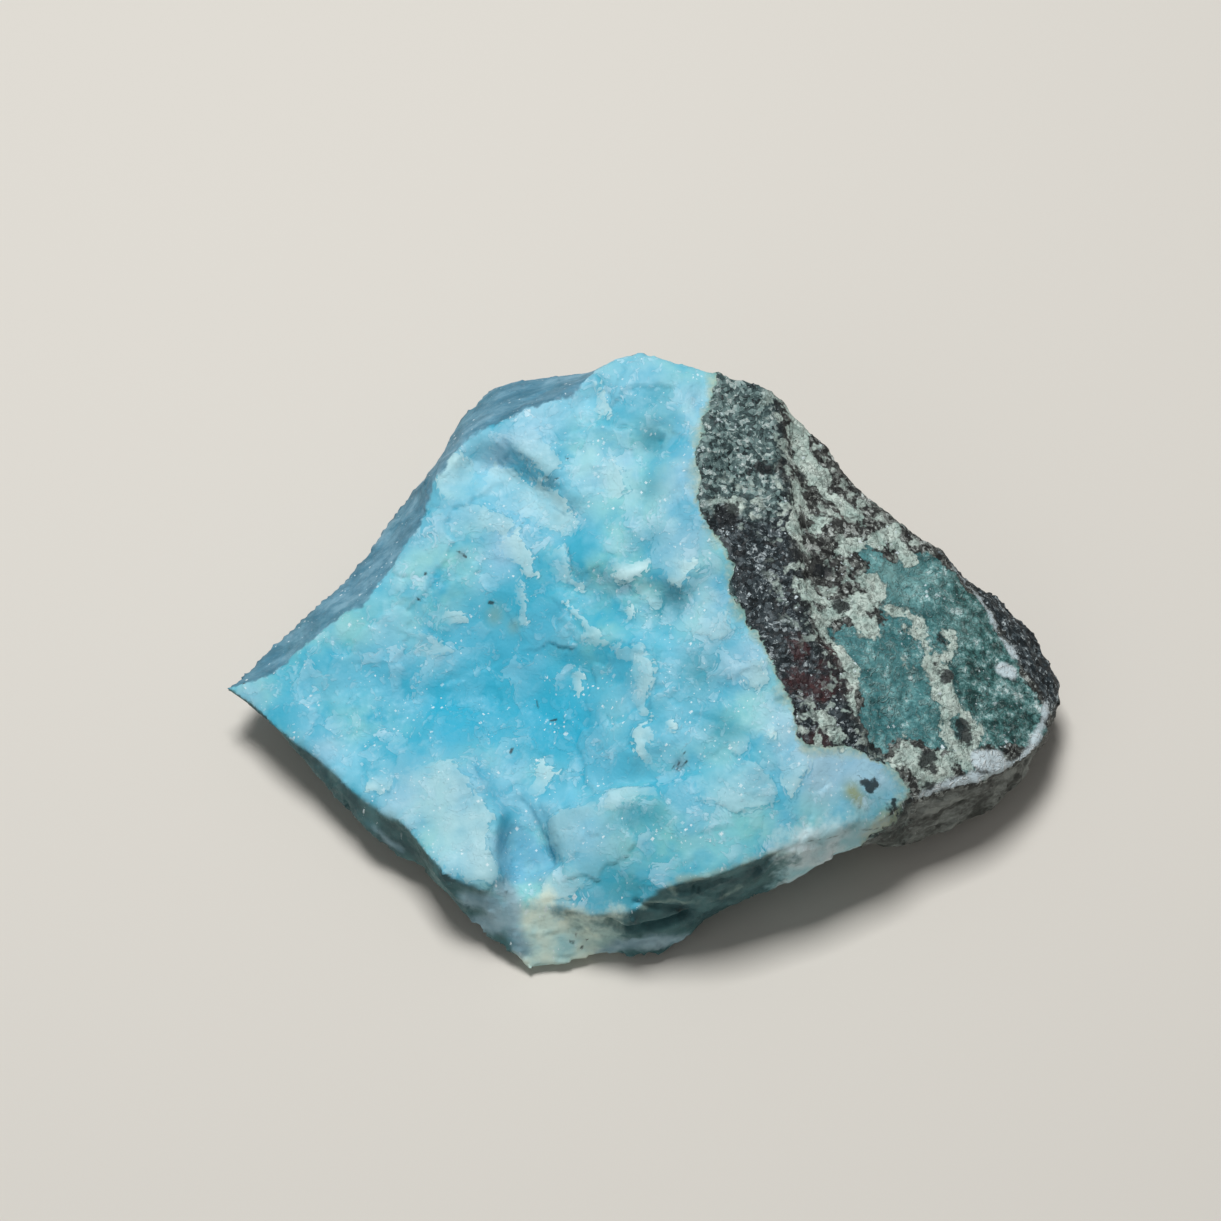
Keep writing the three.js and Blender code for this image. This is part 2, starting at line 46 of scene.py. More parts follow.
# what a user would change about the stone, lengths in mm
stone = {
    "seed": 7,  # for the flakes' ragged edges, not 0, which would mean the clock
    "voxel": 0.2,  # between points, and half of it on the faces that show most
    "wearPasses": 3,  # of smoothing, which wears the CAD stone's facets away
    "keepEdges": (0.02, 0.07),  # edges that the smoothing would move so far stay crisp
    "showing": (0.0, -0.45, 0.89),  # faces turned this way get the finer points
    "showingFrom": 0.12,
    "topFrom": (-0.1, 0.3),  # how far up a face looks that counts as the top
    "flatBelow": 0.06,  # the rest facet stays flat
    "fullFrom": 0.5,  # height at which the relief has grown to its full depth
    # thin flakes: size, share, raggedness, height, paleness
    "flakes": [(3.0, 0.5, 0.3, 0.09, 0.2), (1.4, 0.35, 0.25, 0.03, 0.2), (0.7, 0.25, 0.2, 0.012, 0.15)],
    # the other relief: size, height
    "swell": (3.2, 0.06),
    "chips": [(1.3, 0.03), (0.5, 0.006)],
    "sideChips": [(2.4, 0.14), (0.9, 0.06), (0.45, 0.02)],
    "grain": (0.25, 0.003),
    "rockLumps": (1.3, 0.14),
    "rockGrain": (0.32, 0.05),
    # the plane of the broken face, how it droops to the right, and its rim
    "brokenFace": {"start": (-13.7, -1.8, 2.5), "slope": 0.25, "droopFrom": 2.0, "droop": 0.042, "rim": 1},
    "rockLean": 0.4,  # the rock reaches under the larimar by this share of the depth below the rim
    "rockBlur": 0.1,
    # sides: how steep they are, how near the outline, how far they face down, and where in y the skin
    # begins that goes on over the back
    "sides": {"steep": (0.6, 0.3), "nearOutline": (1.7, 1.1), "under": (0.05, -0.15), "skinFrom": (1, 4)},
    # spots that broke smoothly: x, y, radius, strength
    "calmSpots": [(-6.8, -6.6, 1.8, 0.8), (-9.2, -4.6, 1.2, 0.6), (-3.5, -8.0, 1.2, 0.5),
                  (-4.5, 6.0, 1.5, 0.4), (2.5, 6.5, 1.6, 0.4)],
    # dents: x, y, radius, depth
    "dents": [(0.4, 6.3, 0.5, 0.12), (0.2, 4.5, 0.5, 0.1), (0.1, 2.5, 0.6, 0.1), (2.0, -2.2, 0.8, 0.12),
              (0.9, 0.4, 0.45, 0.2), (2.7, -4.4, 0.6, 0.1), (-0.4, -5.3, 0.5, 0.1), (0.7, 7.7, 0.5, 0.1)],
    # grooves: a line in x, y and z, depth, half width
    "grooves": [
        ([(-1.2, -9.9, 2.25), (-0.6, -10.0, 2.0), (0.0, -10.0, 2.05), (0.8, -9.8, 2.0),
          (1.6, -9.4, 2.0)], 0.4, 0.16),
        ([(-0.3, -9.7, 3.2), (0.6, -9.7, 2.9), (1.4, -9.5, 2.4)], 0.2, 0.12),
        ([(-4.3, -5.6, 3.3), (-3.8, -6.6, 2.9), (-3.3, -7.6, 2.6)], 0.14, 0.22),
        ([(-2.9, 3.2, 6.5), (-2.7, 2.6, 6.4), (-2.6, 2.0, 6.2)], 0.1, 0.07),
        ([(3.3, -4.6, 6.0), (3.9, -5.2, 5.9), (4.5, -5.8, 5.8)], 0.08, 0.08)],
    # areas of the stone, as outlines in plan
    "zones": {
        # wall rock, from the back edge to the front wall
        "rock": [(2.6, 12), (2.6, 8.8), (2.5, 7.7), (2.2, 6.8), (2.0, 5.9), (1.9, 4.7), (2.0, 3.6),
                 (2.3, 2.8), (3.0, 1.8), (3.2, 1.3), (3.1, 0.8), (3.3, 0.0), (3.7, -0.7), (4.0, -1.2),
                 (4.6, -2.1), (4.9, -3.1), (5.3, -3.7), (5.5, -4.8), (5.7, -5.1), (7.0, -4.8), (7.6, -4.9),
                 (8.3, -5.0), (8.8, -5.3), (9.4, -5.8), (9.0, -6.4), (8.2, -7.1), (7.9, -9), (20, -9),
                 (20, 12)],
        # right of the rock's crest
        "behindCrest": [(4.7, 12), (4.8, 8.0), (5.0, 6.4), (5.1, 4.8), (5.3, 3.3), (5.4, 1.7), (5.5, 0.2),
                        (5.9, -1.3), (6.5, -1.9), (6.9, -2.5), (7.2, -3.7), (7.9, -4.8), (8.6, -5.1),
                        (9.3, -6.2), (9.5, -9), (20, -9), (20, 12)],
        # darker, browner part of the rock
        "darkRock": [(1.5, 3.4), (5.0, 3.6), (5.5, 5.6), (6.4, 5.3), (7.6, 4.6), (8.6, 3.2), (7.2, 1.2),
                     (6.0, -0.6), (7.3, -2.2), (8.2, -5.2), (4.5, -5.6), (3.0, 0)],
        # the green face
        "green": [(7.4, 2.9), (8.1, 3.4), (8.9, 2.7), (9.8, 3.4), (10.5, 3.5), (11.3, 3.1), (12.0, 2.5),
                  (12.7, 1.2), (13.3, 0.4), (13.6, -0.8), (14.2, -1.4), (14.4, -2.4), (13.8, -3.1),
                  (12.7, -3.5), (11.7, -4.0), (11.4, -4.9), (10.5, -4.3), (9.0, -4.1), (8.4, -4.8),
                  (7.9, -4.5), (7.6, -3.5), (7.4, -2.4), (7.1, -1.6), (6.7, -1.0), (6.3, -0.5), (7.3, -0.2),
                  (8.0, -0.5), (8.5, 0.3), (8.6, 1.3), (7.9, 1.8), (8.0, 2.4)],
        # rock along the green end's outer edge
        "outerStrip": [(10.4, 6), (10.7, 4.1), (11.3, 3.4), (12.0, 2.8), (12.6, 1.7), (13.1, 0.8),
                       (13.7, -0.2), (14.1, -0.8), (14.5, -1.4), (15.2, -1.9), (18, -1), (16, 6)],
        # ledge under the front rim that catches light, painted paler than its own blue-white to stand for
        # that light
        "litLedge": [(4.6, -8.6), (4.8, -7.9), (6.0, -7.5), (7.6, -6.8), (8.4, -6.9), (7.8, -8.0),
                     (6.3, -8.4), (5.3, -8.7)],
        # the front tip's facet, its cream painted lighter for the light on it
        "creamTip": [(-4.3, -9.3), (-3.8, -9.2), (-3.4, -9.1), (-3.1, -9.5), (-2.2, -9.7), (-1.4, -9.9),
                     (-0.8, -10.0), (-1.1, -10.3), (-1.6, -10.6), (-3.0, -11), (-4.5, -11), (-4.4, -9.9)],
        # smooth facet behind the front tip
        "blueFacet": [(-5.0, -6.8), (-4.5, -6.3), (-4.0, -6.7), (-3.5, -7.2), (-3.0, -8.0), (-3.5, -8.6),
                      (-4.2, -8.6), (-4.8, -8.5), (-5.2, -8.1), (-5.4, -7.4)],
        # weathered skin along the upper left edge
        "slateBand": [(-16, -0.6), (-15.0, -0.4), (-13.3, -0.1), (-11.8, 1.0), (-9.9, 2.1), (-8.6, 3.7),
                      (-7.8, 5.0), (-7.4, 6.2), (-6.7, 6.9), (-6.3, 7.3), (-5.2, 7.7), (-3.8, 8.0),
                      (-2.5, 8.5), (-1.6, 9.6), (-1.5, 14), (-16, 14)],
    },
    # thin flakes that stand a little above the break
    "plates": {
        "lift": 0.045,
        "edge": 0.03,
        "hinge": (-0.5, 0.3),  # where along its way a flake begins to lift, and is up, as shares of its size
        "ragged": (0.55, 4, 0.13),  # size, octaves and depth of their edges
        "fade": (0.9, 3, 0.15),  # the same for how they fade into the stone
        # the way their broken side faces, in radians, how pale they are, and their outline
        "pieces": [
            (0.8, 0.6, [(-5.8, 6.1), (-5.3, 6.7), (-4.6, 6.3), (-4.1, 5.7), (-3.7, 5.5), (-3.2, 5.2),
              (-2.8, 4.7), (-2.6, 4.2), (-2.2, 3.9), (-2.6, 3.4), (-3.5, 3.8), (-4.4, 4.5), (-5.2, 5),
              (-5.8, 5.2)]),
            (0.8, 0.8, [(-4.1, 5.3), (-3.7, 5.4), (-3.3, 5.2), (-2.8, 4.7), (-2.5, 4.3), (-3.2, 4.6),
              (-3.9, 5)]),
            (2.4, 0.8, [(-7.4, 6.7), (-7.2, 7.2), (-6.8, 7), (-6.3, 6.8), (-6.1, 6.2), (-6.4, 5.3), (-7, 4.9),
              (-7.3, 5.5)]),
            (0.2, 0.9, [(-5.2, 3.5), (-4.9, 3.7), (-4.5, 3.8), (-4.2, 3.3), (-3.9, 2.8), (-3.8, 2.2),
              (-4.1, 2.2), (-4.5, 2.6), (-5, 3)]),
            (0.1, 0.7, [(-3.5, 2.7), (-3.1, 3), (-2.8, 3.2), (-2.6, 2.7), (-2.6, 2.3), (-2.6, 2), (-2, 1.7),
              (-2.1, 1.5), (-2.8, 1.7), (-3.2, 2.1)]),
            (-1.4, 1, [(-1.3, 1.9), (-1.1, 2.1), (-0.5, 2), (0.2, 2), (0.2, 1.6), (-0.3, 1.5), (-0.8, 1.4),
              (-1.1, 1.7)]),
            (-0.9, 1, [(0.7, 1.7), (1, 1.8), (1.6, 1.7), (2, 1.4), (1.6, 1.1), (1.3, 0.8), (0.9, 1),
              (0.7, 1.3)]),
            (0.9, 0.75, [(-2.9, 1.2), (-2.4, 0.7), (-1.8, 0), (-1.3, -0.5), (-0.7, -0.9), (-0.1, -1),
              (0.2, -1.4), (0.4, -1.9), (0, -2), (-0.4, -1.5), (-1, -1.1), (-1.6, -0.6), (-2.1, -0.2),
              (-2.2, 0.3), (-2.6, 0.7)]),
            (0, 0.7, [(-4.6, 2.1), (-4.4, 2.1), (-4.2, 1.6), (-4.1, 1), (-4.2, 0.7), (-4.4, 0.6),
              (-4.5, 1.3)]),
            (0.2, 0.8, [(-1.8, 8.8), (-1.5, 8.8), (-1.3, 8.3), (-1.1, 7.7), (-1.2, 7.3), (-1.6, 7.5),
              (-1.7, 8.2)]),
            (0, 0.6, [(-1.4, 6), (-1.1, 6.1), (-0.8, 5.4), (-0.5, 4.6), (-0.8, 4.4), (-1.3, 4.5),
              (-1.6, 5.1)]),
            (-1.6, 0.5, [(-5, 7.2), (-4.5, 7.4), (-3.9, 7.1), (-3.3, 6.4), (-2.9, 5.8), (-3.4, 5.5), (-4, 6),
              (-4.6, 6.6)]),
            (0.1, 0.8, [(-3.9, -4), (-3.5, -4.2), (-3, -4.6), (-3.2, -5), (-3.6, -5.4), (-3.9, -5.7),
              (-4.1, -5.2), (-3.8, -4.7)]),
            (2.8, 0.9, [(-0.4, -4.1), (-0.3, -3.8), (0, -3.8), (0.4, -4.1), (0.4, -4.4), (0.1, -4.5),
              (0.2, -4.9), (0.4, -5.2), (0, -5), (-0.3, -4.6)]),
            (0, 0.8, [(-2.5, -1.1), (-2.2, -1.2), (-2.1, -1.8), (-2.3, -2.1), (-2.5, -1.6)]),
            (-0.1, 0.7, [(-0.4, -1.7), (-0.1, -1.5), (0.3, -1.6), (0.4, -2.2), (0.2, -2.7), (0, -3.1),
              (0.3, -3.5), (-0.1, -3.3), (-0.4, -2.7), (-0.3, -2.2)]),
            (1.8, 0.6, [(-1.2, -5.9), (-0.8, -5.9), (-0.3, -5.8), (0.4, -6), (0.5, -6.4), (-0.1, -6.4),
              (-0.4, -6.5), (-0.8, -6.6), (-1.1, -6.8), (-1.3, -6.6)]),
            (0.4, 0.8, [(0.7, -3.8), (1, -3.8), (1.3, -4), (1.1, -4.2), (0.8, -4.1)]),
            (-0.5, 0.9, [(4.2, -4.5), (4.3, -4.2), (4.7, -4.3), (4.6, -4.7), (4.3, -4.9)]),
            (-2, 0.5, [(0.1, 1.4), (0.4, 1.2), (0.6, 0.8), (0.5, 0.3), (0.2, 0.8), (-0.4, 1.1)]),
            (0, 0.8, [(-0.7, 0.6), (-0.4, 0.7), (-0.3, 0.3), (-0.6, 0.1)]),
            (0.4, 0.5, [(-8.7, 0.6), (-8, 0.8), (-7.3, 0.5), (-6.8, 0.1), (-7.4, -0.1), (-8.2, 0.1)]),
            (-1.5, 0.7, [(-9.8, -4.4), (-9.4, -4.2), (-8.9, -4.5), (-8.9, -5.1), (-9.3, -5.2), (-9.8, -5)]),
            (0.6, 0.6, [(-7.3, 1.5), (-6.7, 1.4), (-6.3, 1.1), (-6.9, 0.9), (-7.3, 1.1)]),
            (0.7, 0.5, [(-6.8, 4.9), (-5.9, 5), (-5, 4.6), (-4.4, 3.9), (-5.1, 3.8), (-5.9, 4.1),
              (-6.7, 4.3)]),
            (-1.2, 0.4, [(1.4, 0.1), (2, 0.3), (2.8, -0.1), (3.2, -0.8), (2.7, -1.1), (2, -0.9),
              (1.4, -0.4)]),
            (-0.8, 0.7, [(2.7, -4.5), (3.1, -4.4), (3.5, -4.8), (3.2, -5.2), (2.9, -5)]),
            (2.9, 0.35, [(-3.3, -6.5), (-2.6, -6.3), (-1.9, -6.3), (-1.5, -6.7), (-1.1, -7.2), (-1.3, -7.7),
              (-1.8, -7.9), (-2.3, -8), (-2.9, -8.2), (-3.2, -7.3), (-3.4, -6.8)]),
            (0.1, 0.6, [(-8.4, -4.4), (-7.7, -4.4), (-7.2, -4.2), (-6.8, -4.3), (-6.3, -4.9), (-6.1, -5.4),
              (-5.6, -5.9), (-5.3, -6.5), (-5.5, -6.9), (-5.5, -7.7), (-5.2, -8.1), (-5, -8.6), (-5.4, -8.8),
              (-6.1, -8.7), (-6.9, -8.3), (-7.3, -7.8), (-7.8, -7.1), (-8.3, -6.4), (-8.7, -5.5),
              (-8.9, -4.9)]),
            (-0.9, 0.4, [(2, -4.6), (3, -4.5), (3.3, -5.2), (4.4, -5.9), (4.7, -6.8), (3.3, -7.2),
              (1.9, -6.7), (1.6, -5.4)]),
            (-2, 0.6, [(-3.6, -8.7), (-3, -8.1), (-2.4, -8.5), (-1.9, -8.8), (-2.4, -9.2), (-2.9, -9.3),
              (-3.5, -9.2)]),
            (-1, 0.6, [(3.4, -1.8), (4.1, -2.1), (4.4, -2.7), (3.9, -3), (3.5, -2.6), (3.3, -2.1)]),
            (-1.2, 0.7, [(4.7, -5.5), (5.4, -5.1), (5.9, -5.4), (5.5, -6.1), (5.1, -6.7), (4.8, -6.3)]),
            (-1.6, 0.5, [(2.9, -4.4), (3.2, -4.2), (3.6, -4.5), (3.6, -5), (3.3, -5.2), (3.1, -5)]),
        ],
    },
    # soft tints of the larimar, and haze on the green face: x, y, radius, strength
    "tints": {
        "turquoise": [(-4.0, -1.4, 2.4, 0.72), (-6.4, -2.0, 1.7, 0.6), (-3.1, -3.2, 1.3, 0.8),
                      (-6.0, 0.6, 1.5, 0.3), (-1.5, -4.1, 1.1, 0.5), (-7.4, -1.3, 1.2, 0.5),
                      (-9.6, -0.6, 1.4, 0.55), (-1.3, -1.7, 1.0, 0.3), (-0.6, -5.2, 0.9, 0.6),
                      (-12.5, -0.9, 1.3, 0.4), (2.7, -6.2, 1.2, 0.5), (-3.2, 1.0, 1.0, 0.5),
                      (-7.0, -3.3, 1.0, 0.5)],
        # teal: partly the larimar's own deeper tone, partly painted shade in the dents, notches and hollows
        "teal": [(0.4, 6.3, 0.5, 1.0), (0.2, 4.5, 0.5, 0.7), (0.1, 2.6, 0.7, 0.7), (2.0, -2.2, 1.0, 0.9),
                 (0.9, 0.5, 0.6, 1.3), (2.7, -4.4, 0.7, 0.7), (0.4, 7.8, 0.9, 0.6), (-3.0, 4.0, 0.45, 0.6),
                 (-1.2, 0.9, 0.9, 0.35), (1.4, -7.6, 0.9, 0.3), (-1.5, -8.5, 0.9, 0.6),
                 (-0.3, -9.3, 0.8, 0.9), (-3.3, -7.4, 0.5, 0.5), (-0.4, -7.0, 0.6, 0.9),
                 (0.4, -7.1, 0.5, 0.6)],
        # white: whiter larimar, and at -5.1, 6.8 painted light on the block's wall, which faces away from the
        # lamps
        "white": [(2.6, 6.1, 0.8, 0.8), (1.6, 4.6, 1.2, 0.8), (1.5, 2.3, 1.1, 0.6), (2.6, 0.3, 1.0, 0.5),
                  (3.7, -2.0, 1.0, 0.7), (4.7, -4.1, 0.9, 0.6), (6.2, -5.6, 1.3, 1.1), (8.0, -5.4, 0.9, 1.0),
                  (-0.1, 9.5, 1.2, 0.3), (2.0, 7.7, 0.8, 0.6), (-4.1, 6.9, 0.8, 0.5), (-6.9, -5.5, 1.8, 0.4),
                  (-5.6, -8.2, 0.9, 0.6), (-14.2, -1.0, 0.8, 0.5), (-5.0, 3.1, 0.8, 0.5),
                  (-2.0, -7.4, 1.0, 0.4), (-5.0, 4.6, 1.3, 0.4), (-1.5, 5.2, 0.9, 0.4), (-5.1, 6.8, 0.5, 0.7),
                  (-11.4, -3.2, 0.7, 0.6), (-8.6, -5.4, 0.8, 0.5)],
        "olive": [(7.25, -6.25, 0.32, 1.1), (7.6, -6.55, 0.28, 1.0), (8.45, -6.75, 0.3, 0.8),
                  (-5.3, 1.2, 0.35, 0.5), (-4.6, 0.7, 0.25, 0.4)],
        "haze": [(8.7, 2.4, 0.7, 0.7), (10.0, 2.1, 0.8, 0.7), (9.3, 1.3, 0.6, 0.5), (11.4, 0.9, 0.6, 0.4),
                 (8.3, -1.6, 0.7, 0.3)],
        "smudge": [(1.25, -5.2, 0.26, 0.7), (-3.3, 5.35, 0.2, 0.4), (-6.5, 3.25, 0.2, 0.5),
                   (2.9, -1.0, 0.2, 0.4)],
    },
    "tintStrengths": {"turquoise": 0.9, "teal": 0.85, "white": 0.75, "olive": 0.9, "smudge": 0.8},
    # strokes of cream crust on the rock: a line, half width
    "creamStrokes": [
        ([(5.6, 7.9), (5.7, 6.7), (5.9, 6.0), (6.3, 5.7)], 0.42),
        ([(5.4, 4.8), (5.4, 3.0)], 0.16),
        ([(5.8, 4.1), (6.3, 3.8), (6.2, 3.5)], 0.28),
        ([(6.9, 4.9), (7.4, 4.6)], 0.26),
        ([(7.2, 3.0), (7.6, 3.1)], 0.36),
        ([(7.7, 1.7), (8.3, 1.7), (8.5, 1.4), (8.1, 1.1)], 0.2),
        ([(5.6, 0.9), (5.9, 0.4), (6.1, -0.1), (6.4, -0.1)], 0.34),
        ([(6.3, 0.0), (6.8, 0.2), (7.3, 0.5), (7.8, 0.8)], 0.32),
        ([(7.5, 0.2), (8.0, -0.1)], 0.3),
        ([(6.3, -0.6), (6.7, -1.1), (7.1, -1.6), (7.35, -2.1), (7.4, -2.8), (7.3, -3.3)], 0.16),
        ([(6.2, -4.1), (6.6, -4.4), (6.8, -4.5)], 0.2),
        ([(6.2, -3.9), (6.0, -4.6)], 0.13),
        ([(8.9, 0.7), (9.3, 0.8), (9.7, 0.6), (9.9, 0.2)], 0.28),
        ([(9.7, 0.3), (10.0, -0.2), (10.2, -0.7), (10.4, -1.2)], 0.34),
        ([(10.9, 0.3), (11.1, -0.1), (10.8, -0.6)], 0.2),
        ([(10.5, -1.2), (10.6, -1.8), (10.8, -2.4)], 0.36),
        ([(10.9, -2.5), (11.4, -2.6), (11.7, -3.1), (11.6, -3.6)], 0.25),
        ([(10.8, -2.6), (10.7, -3.2), (10.8, -3.8), (11.3, -3.9)], 0.22),
        ([(11.0, -4.3), (10.4, -4.8), (9.8, -5.2)], 0.45),
        ([(9.9, -5.1), (9.2, -4.8), (9.4, -4.4)], 0.38),
        ([(9.2, -1.2), (9.35, -1.3)], 0.13),
        ([(9.1, 3.7), (9.6, 3.1)], 0.28),
        ([(8.4, 3.5), (9.0, 4.1)], 0.25),
        ([(3.3, 3.5), (3.4, 3.6)], 0.2)],
    # dark mineral spots in the rock and the cream crust, and rusty ones: x, y, radius
    "darkSpots": [(6.3, 1.7, 0.26), (7.0, 0.5, 0.17), (10.5, 0.0, 0.22), (10.8, -1.3, 0.15),
                  (10.4, -1.0, 0.09), (11.3, -3.1, 0.25), (11.2, -3.5, 0.2), (10.0, -4.6, 0.24),
                  (9.8, -4.9, 0.12), (10.15, -5.0, 0.13), (10.0, -5.5, 0.16), (9.7, 3.6, 0.2),
                  (7.7, -5.85, 0.16), (7.95, -6.05, 0.26), (8.25, -6.25, 0.2), (8.8, -6.4, 0.11),
                  (2.65, 3.1, 0.3), (3.2, 3.2, 0.3), (4.2, 5.1, 0.2), (3.3, 1.7, 0.25), (5.6, 5.5, 0.18)],
    "rustSpots": [(6.5, -1.4, 0.4), (6.2, -2.1, 0.5), (7.3, 4.4, 0.22), (6.0, -3.0, 0.55), (5.5, -1.7, 0.5),
                  (7.1, -2.9, 0.3), (4.8, -2.8, 0.25), (6.0, -4.6, 0.5), (5.2, -2.6, 0.4)],
    # black needles and specks in the larimar: a line, half width
    "needles": [([(-3.78, -1.85), (-3.74, -2.1)], 0.05), ([(-3.3, -2.72), (-3.1, -2.7)], 0.05),
                ([(-7.8, 2.7), (-7.8, 2.7)], 0.07), ([(-6.7, 3.4), (-6.55, 3.3)], 0.03),
                ([(-6.45, 3.25), (-6.35, 3.15)], 0.03), ([(-8.1, 1.85), (-8.0, 1.8)], 0.04),
                ([(-4.35, 4.1), (-4.25, 4.15)], 0.04), ([(-3.6, 5.5), (-3.4, 5.45)], 0.03),
                ([(-3.2, 5.3), (-3.0, 5.35)], 0.03), ([(-2.8, 6.15), (-2.7, 6.1)], 0.04),
                ([(-4.7, -3.75), (-4.65, -3.6)], 0.05), ([(1.0, -5.3), (1.2, -5.05)], 0.025),
                ([(1.15, -5.35), (1.25, -5.1)], 0.035), ([(1.35, -5.3), (1.5, -5.15)], 0.03),
                ([(1.3, -4.95), (1.45, -4.85)], 0.025), ([(1.1, -5.45), (1.3, -5.42)], 0.02),
                ([(-5.5, 1.6), (-5.35, 1.55)], 0.05), ([(-2.0, -10.0), (-1.9, -10.0)], 0.035),
                ([(-2.6, -10.1), (-2.45, -10.1)], 0.03), ([(-2.2, -10.2), (-2.15, -10.15)], 0.03),
                ([(-1.7, -10.05), (-1.65, -10.0)], 0.03), ([(-2.4, -9.95), (-2.35, -9.9)], 0.025),
                ([(-14.4, -0.3), (-14.4, -0.3)], 0.06)],
    # white rim, white patches and blue-white line of the green end
    "paleStrokes": [
        ([(14.5, -1.4), (14.2, -2.3), (13.9, -3.2), (13.4, -3.8), (12.8, -4.3), (12.1, -4.7), (11.3, -5.1),
          (10.4, -5.5), (9.7, -5.9)], 0.1),
        ([(12.0, -4.25), (12.5, -4.15)], 0.38),
        ([(10.7, 3.8), (11.3, 3.3), (12.0, 2.6), (12.5, 1.6), (12.9, 0.8), (13.4, 0.2)], 0.07),
        ([(12.9, -0.5), (13.2, -0.6)], 0.2)],
    # painted shadow: thin dark lines under the crisp edges of the larimar's layers
    "foldShadowLines": [
        ([(-4.3, -5.5), (-4.0, -5.8), (-3.7, -6.3), (-3.3, -7.2), (-3.0, -7.8)], 0.05),
        ([(-5.2, 6.7), (-4.3, 6.1), (-3.5, 5.3)], 0.03),
        ([(-3.3, 4.7), (-2.8, 4.3), (-2.3, 4.0)], 0.03),
        ([(-2.9, 3.3), (-2.6, 2.6), (-2.6, 2.2), (-2.7, 1.8)], 0.03),
        ([(-3.5, 1.6), (-3.1, 1.1), (-2.8, 0.7)], 0.03),
        ([(-0.8, -0.7), (-0.5, -0.9), (-0.2, -0.9)], 0.03),
        ([(2.6, -2.6), (3.1, -2.8)], 0.03),
        ([(0.3, -2.8), (0.2, -3.2)], 0.03),
        ([(-4.9, 1.2), (-4.3, 0.2)], 0.03),
        ([(-1.6, 0.7), (-1.5, 0.4)], 0.03),
        ([(3.1, -5.1), (3.5, -5.5)], 0.03)],
    # marks on the walls under the front rim, in x, y and z
    "rimLight": [
        ([(0.0, -9.8, 3.1), (0.9, -9.5, 3.1), (2.0, -9.3, 2.7), (2.5, -9.1, 2.6)], 0.1),
        ([(2.7, -9.0, 2.6), (3.3, -8.9, 3.0)], 0.1),
        ([(0.8, -9.4, 4.0), (1.1, -9.4, 3.4)], 0.08),
        ([(1.2, -9.3, 4.1), (1.9, -9.3, 4.2), (2.6, -9.1, 4.3), (3.3, -8.9, 4.4), (4.0, -8.6, 4.5),
          (4.7, -8.4, 4.3), (5.4, -8.2, 4.1)], 0.08)],
    # pale blue patches on the walls: partly the larimar's own blue, partly painted light on facets turned to
    # the lamp
    "wallBlue": [
        ([(-9.5, -5.9, 1.9), (-9.1, -6.3, 1.6), (-8.6, -6.6, 1.5)], 0.02),
        ([(-1.3, -10.3, 0.6), (-0.7, -10.1, 1.0), (0.2, -10.1, 1.2), (1.3, -9.8, 0.8)], 0.32),
        ([(-6.1, -9.0, 2.2), (-5.4, -9.3, 2.3), (-5.0, -9.6, 1.7), (-5.8, -9.4, 1.1)], 0.4),
        ([(-4.9, -8.8, 2.8), (-4.6, -9.2, 2.5), (-4.7, -9.8, 1.7), (-4.3, -10.4, 1.0)], 0.35)],
    "cracks": [
        ([(-1.1, -10.0, 2.2), (-0.5, -10.0, 2.0), (0.1, -10.0, 2.1)], 0.06),
        ([(0.2, -9.8, 3.0), (0.9, -9.6, 2.7), (1.7, -9.4, 1.9)], 0.05),
        ([(5.6, -7.95, 4.4), (6.5, -7.67, 4.2), (7.6, -7.2, 3.9), (8.2, -7.0, 3.7)], 0.0)],
    # cloudy values about 0.5: size, octaves, how fast these weaken
    "clouds": {"clouding": (1.5, 4, 0.69), "broadRag": (0.8, 3, 1.0), "broadCloud": (3.0, 2, 1.0),
               "glintCloud": (1.1, 2, 1.0)},
    # sizes across of the finish's patterns; the splinters, threads and grains, down to 0.03 mm on the real
    # stone, are drawn as coarse as they need to show
    "sizes": {"fineRag": 0.2, "warp": 0.8, "splinters": 0.17, "grains": 0.15, "threads": 0.3, "patches": 0.7,
              "mottle": 0.6, "crumbs": 0.45, "bumpGrain": 0.11},
    # thin flakes in colour alone: size, share, paleness
    "paintedFlakes": [(1.7, 0.4, 0.45), (0.75, 0.33, 0.5), (0.3, 0.2, 0.4)],
    # painted glints: spacing, the largest one's share of it, shift
    "glints": [(0.34, 0.29, 0.0), (0.17, 0.34, 6.0)],
    "roughness": (0.42, 0.7),  # from patch to patch
    "ior": 1.6,
    "specular": 0.22,
    "bump": (0.8, 0.03),  # strength, height
    # sRGB colours
    "colours": {
        # larimar
        "larimar": "#41aeca", "cloud": "#74c4dc", "greenCloud": "#80cacd", "turquoise": "#1fabcc",
        "teal": "#2f93a6", "white": "#a6cbe2", "olive": "#909d78", "smudge": "#747c88", "flake": "#b8dfee",
        "plate": "#bde3e8", "plateEdge": "#3a95ae", "foldShadow": "#35849f", "needle": "#20282a", "side": "#4a706f",
        "sideShade": "#24403f", "tip": "#dff0e0", "tipShade": "#bbe2de", "facet": "#78b4d0",
        "ledge": "#e0f2f6", "ledgeShade": "#a6dae2", "wallBlue": "#a3c4d0", "wallBlueShade": "#6f98a8",
        "rimLight": "#aecbc0", "crack": "#34423f", "seam": "#adb99f", "seamShade": "#7f9a86",
        # wall rock
        "rust": "#5d3434", "rustShade": "#2e1d20", "crestShadow": "#1d2427", "haze": "#8ab8b6",
        "greenThread": "#b4d0cd", "greenRim": "#1f2c2c", "cream": "#d3e1d8", "creamShade": "#a2bbb3",
        "creamSpeck": "#4c5753", "creamRim": "#252e2d", "wallStreak": "#8d9490", "wallShade": "#3a3f3b",
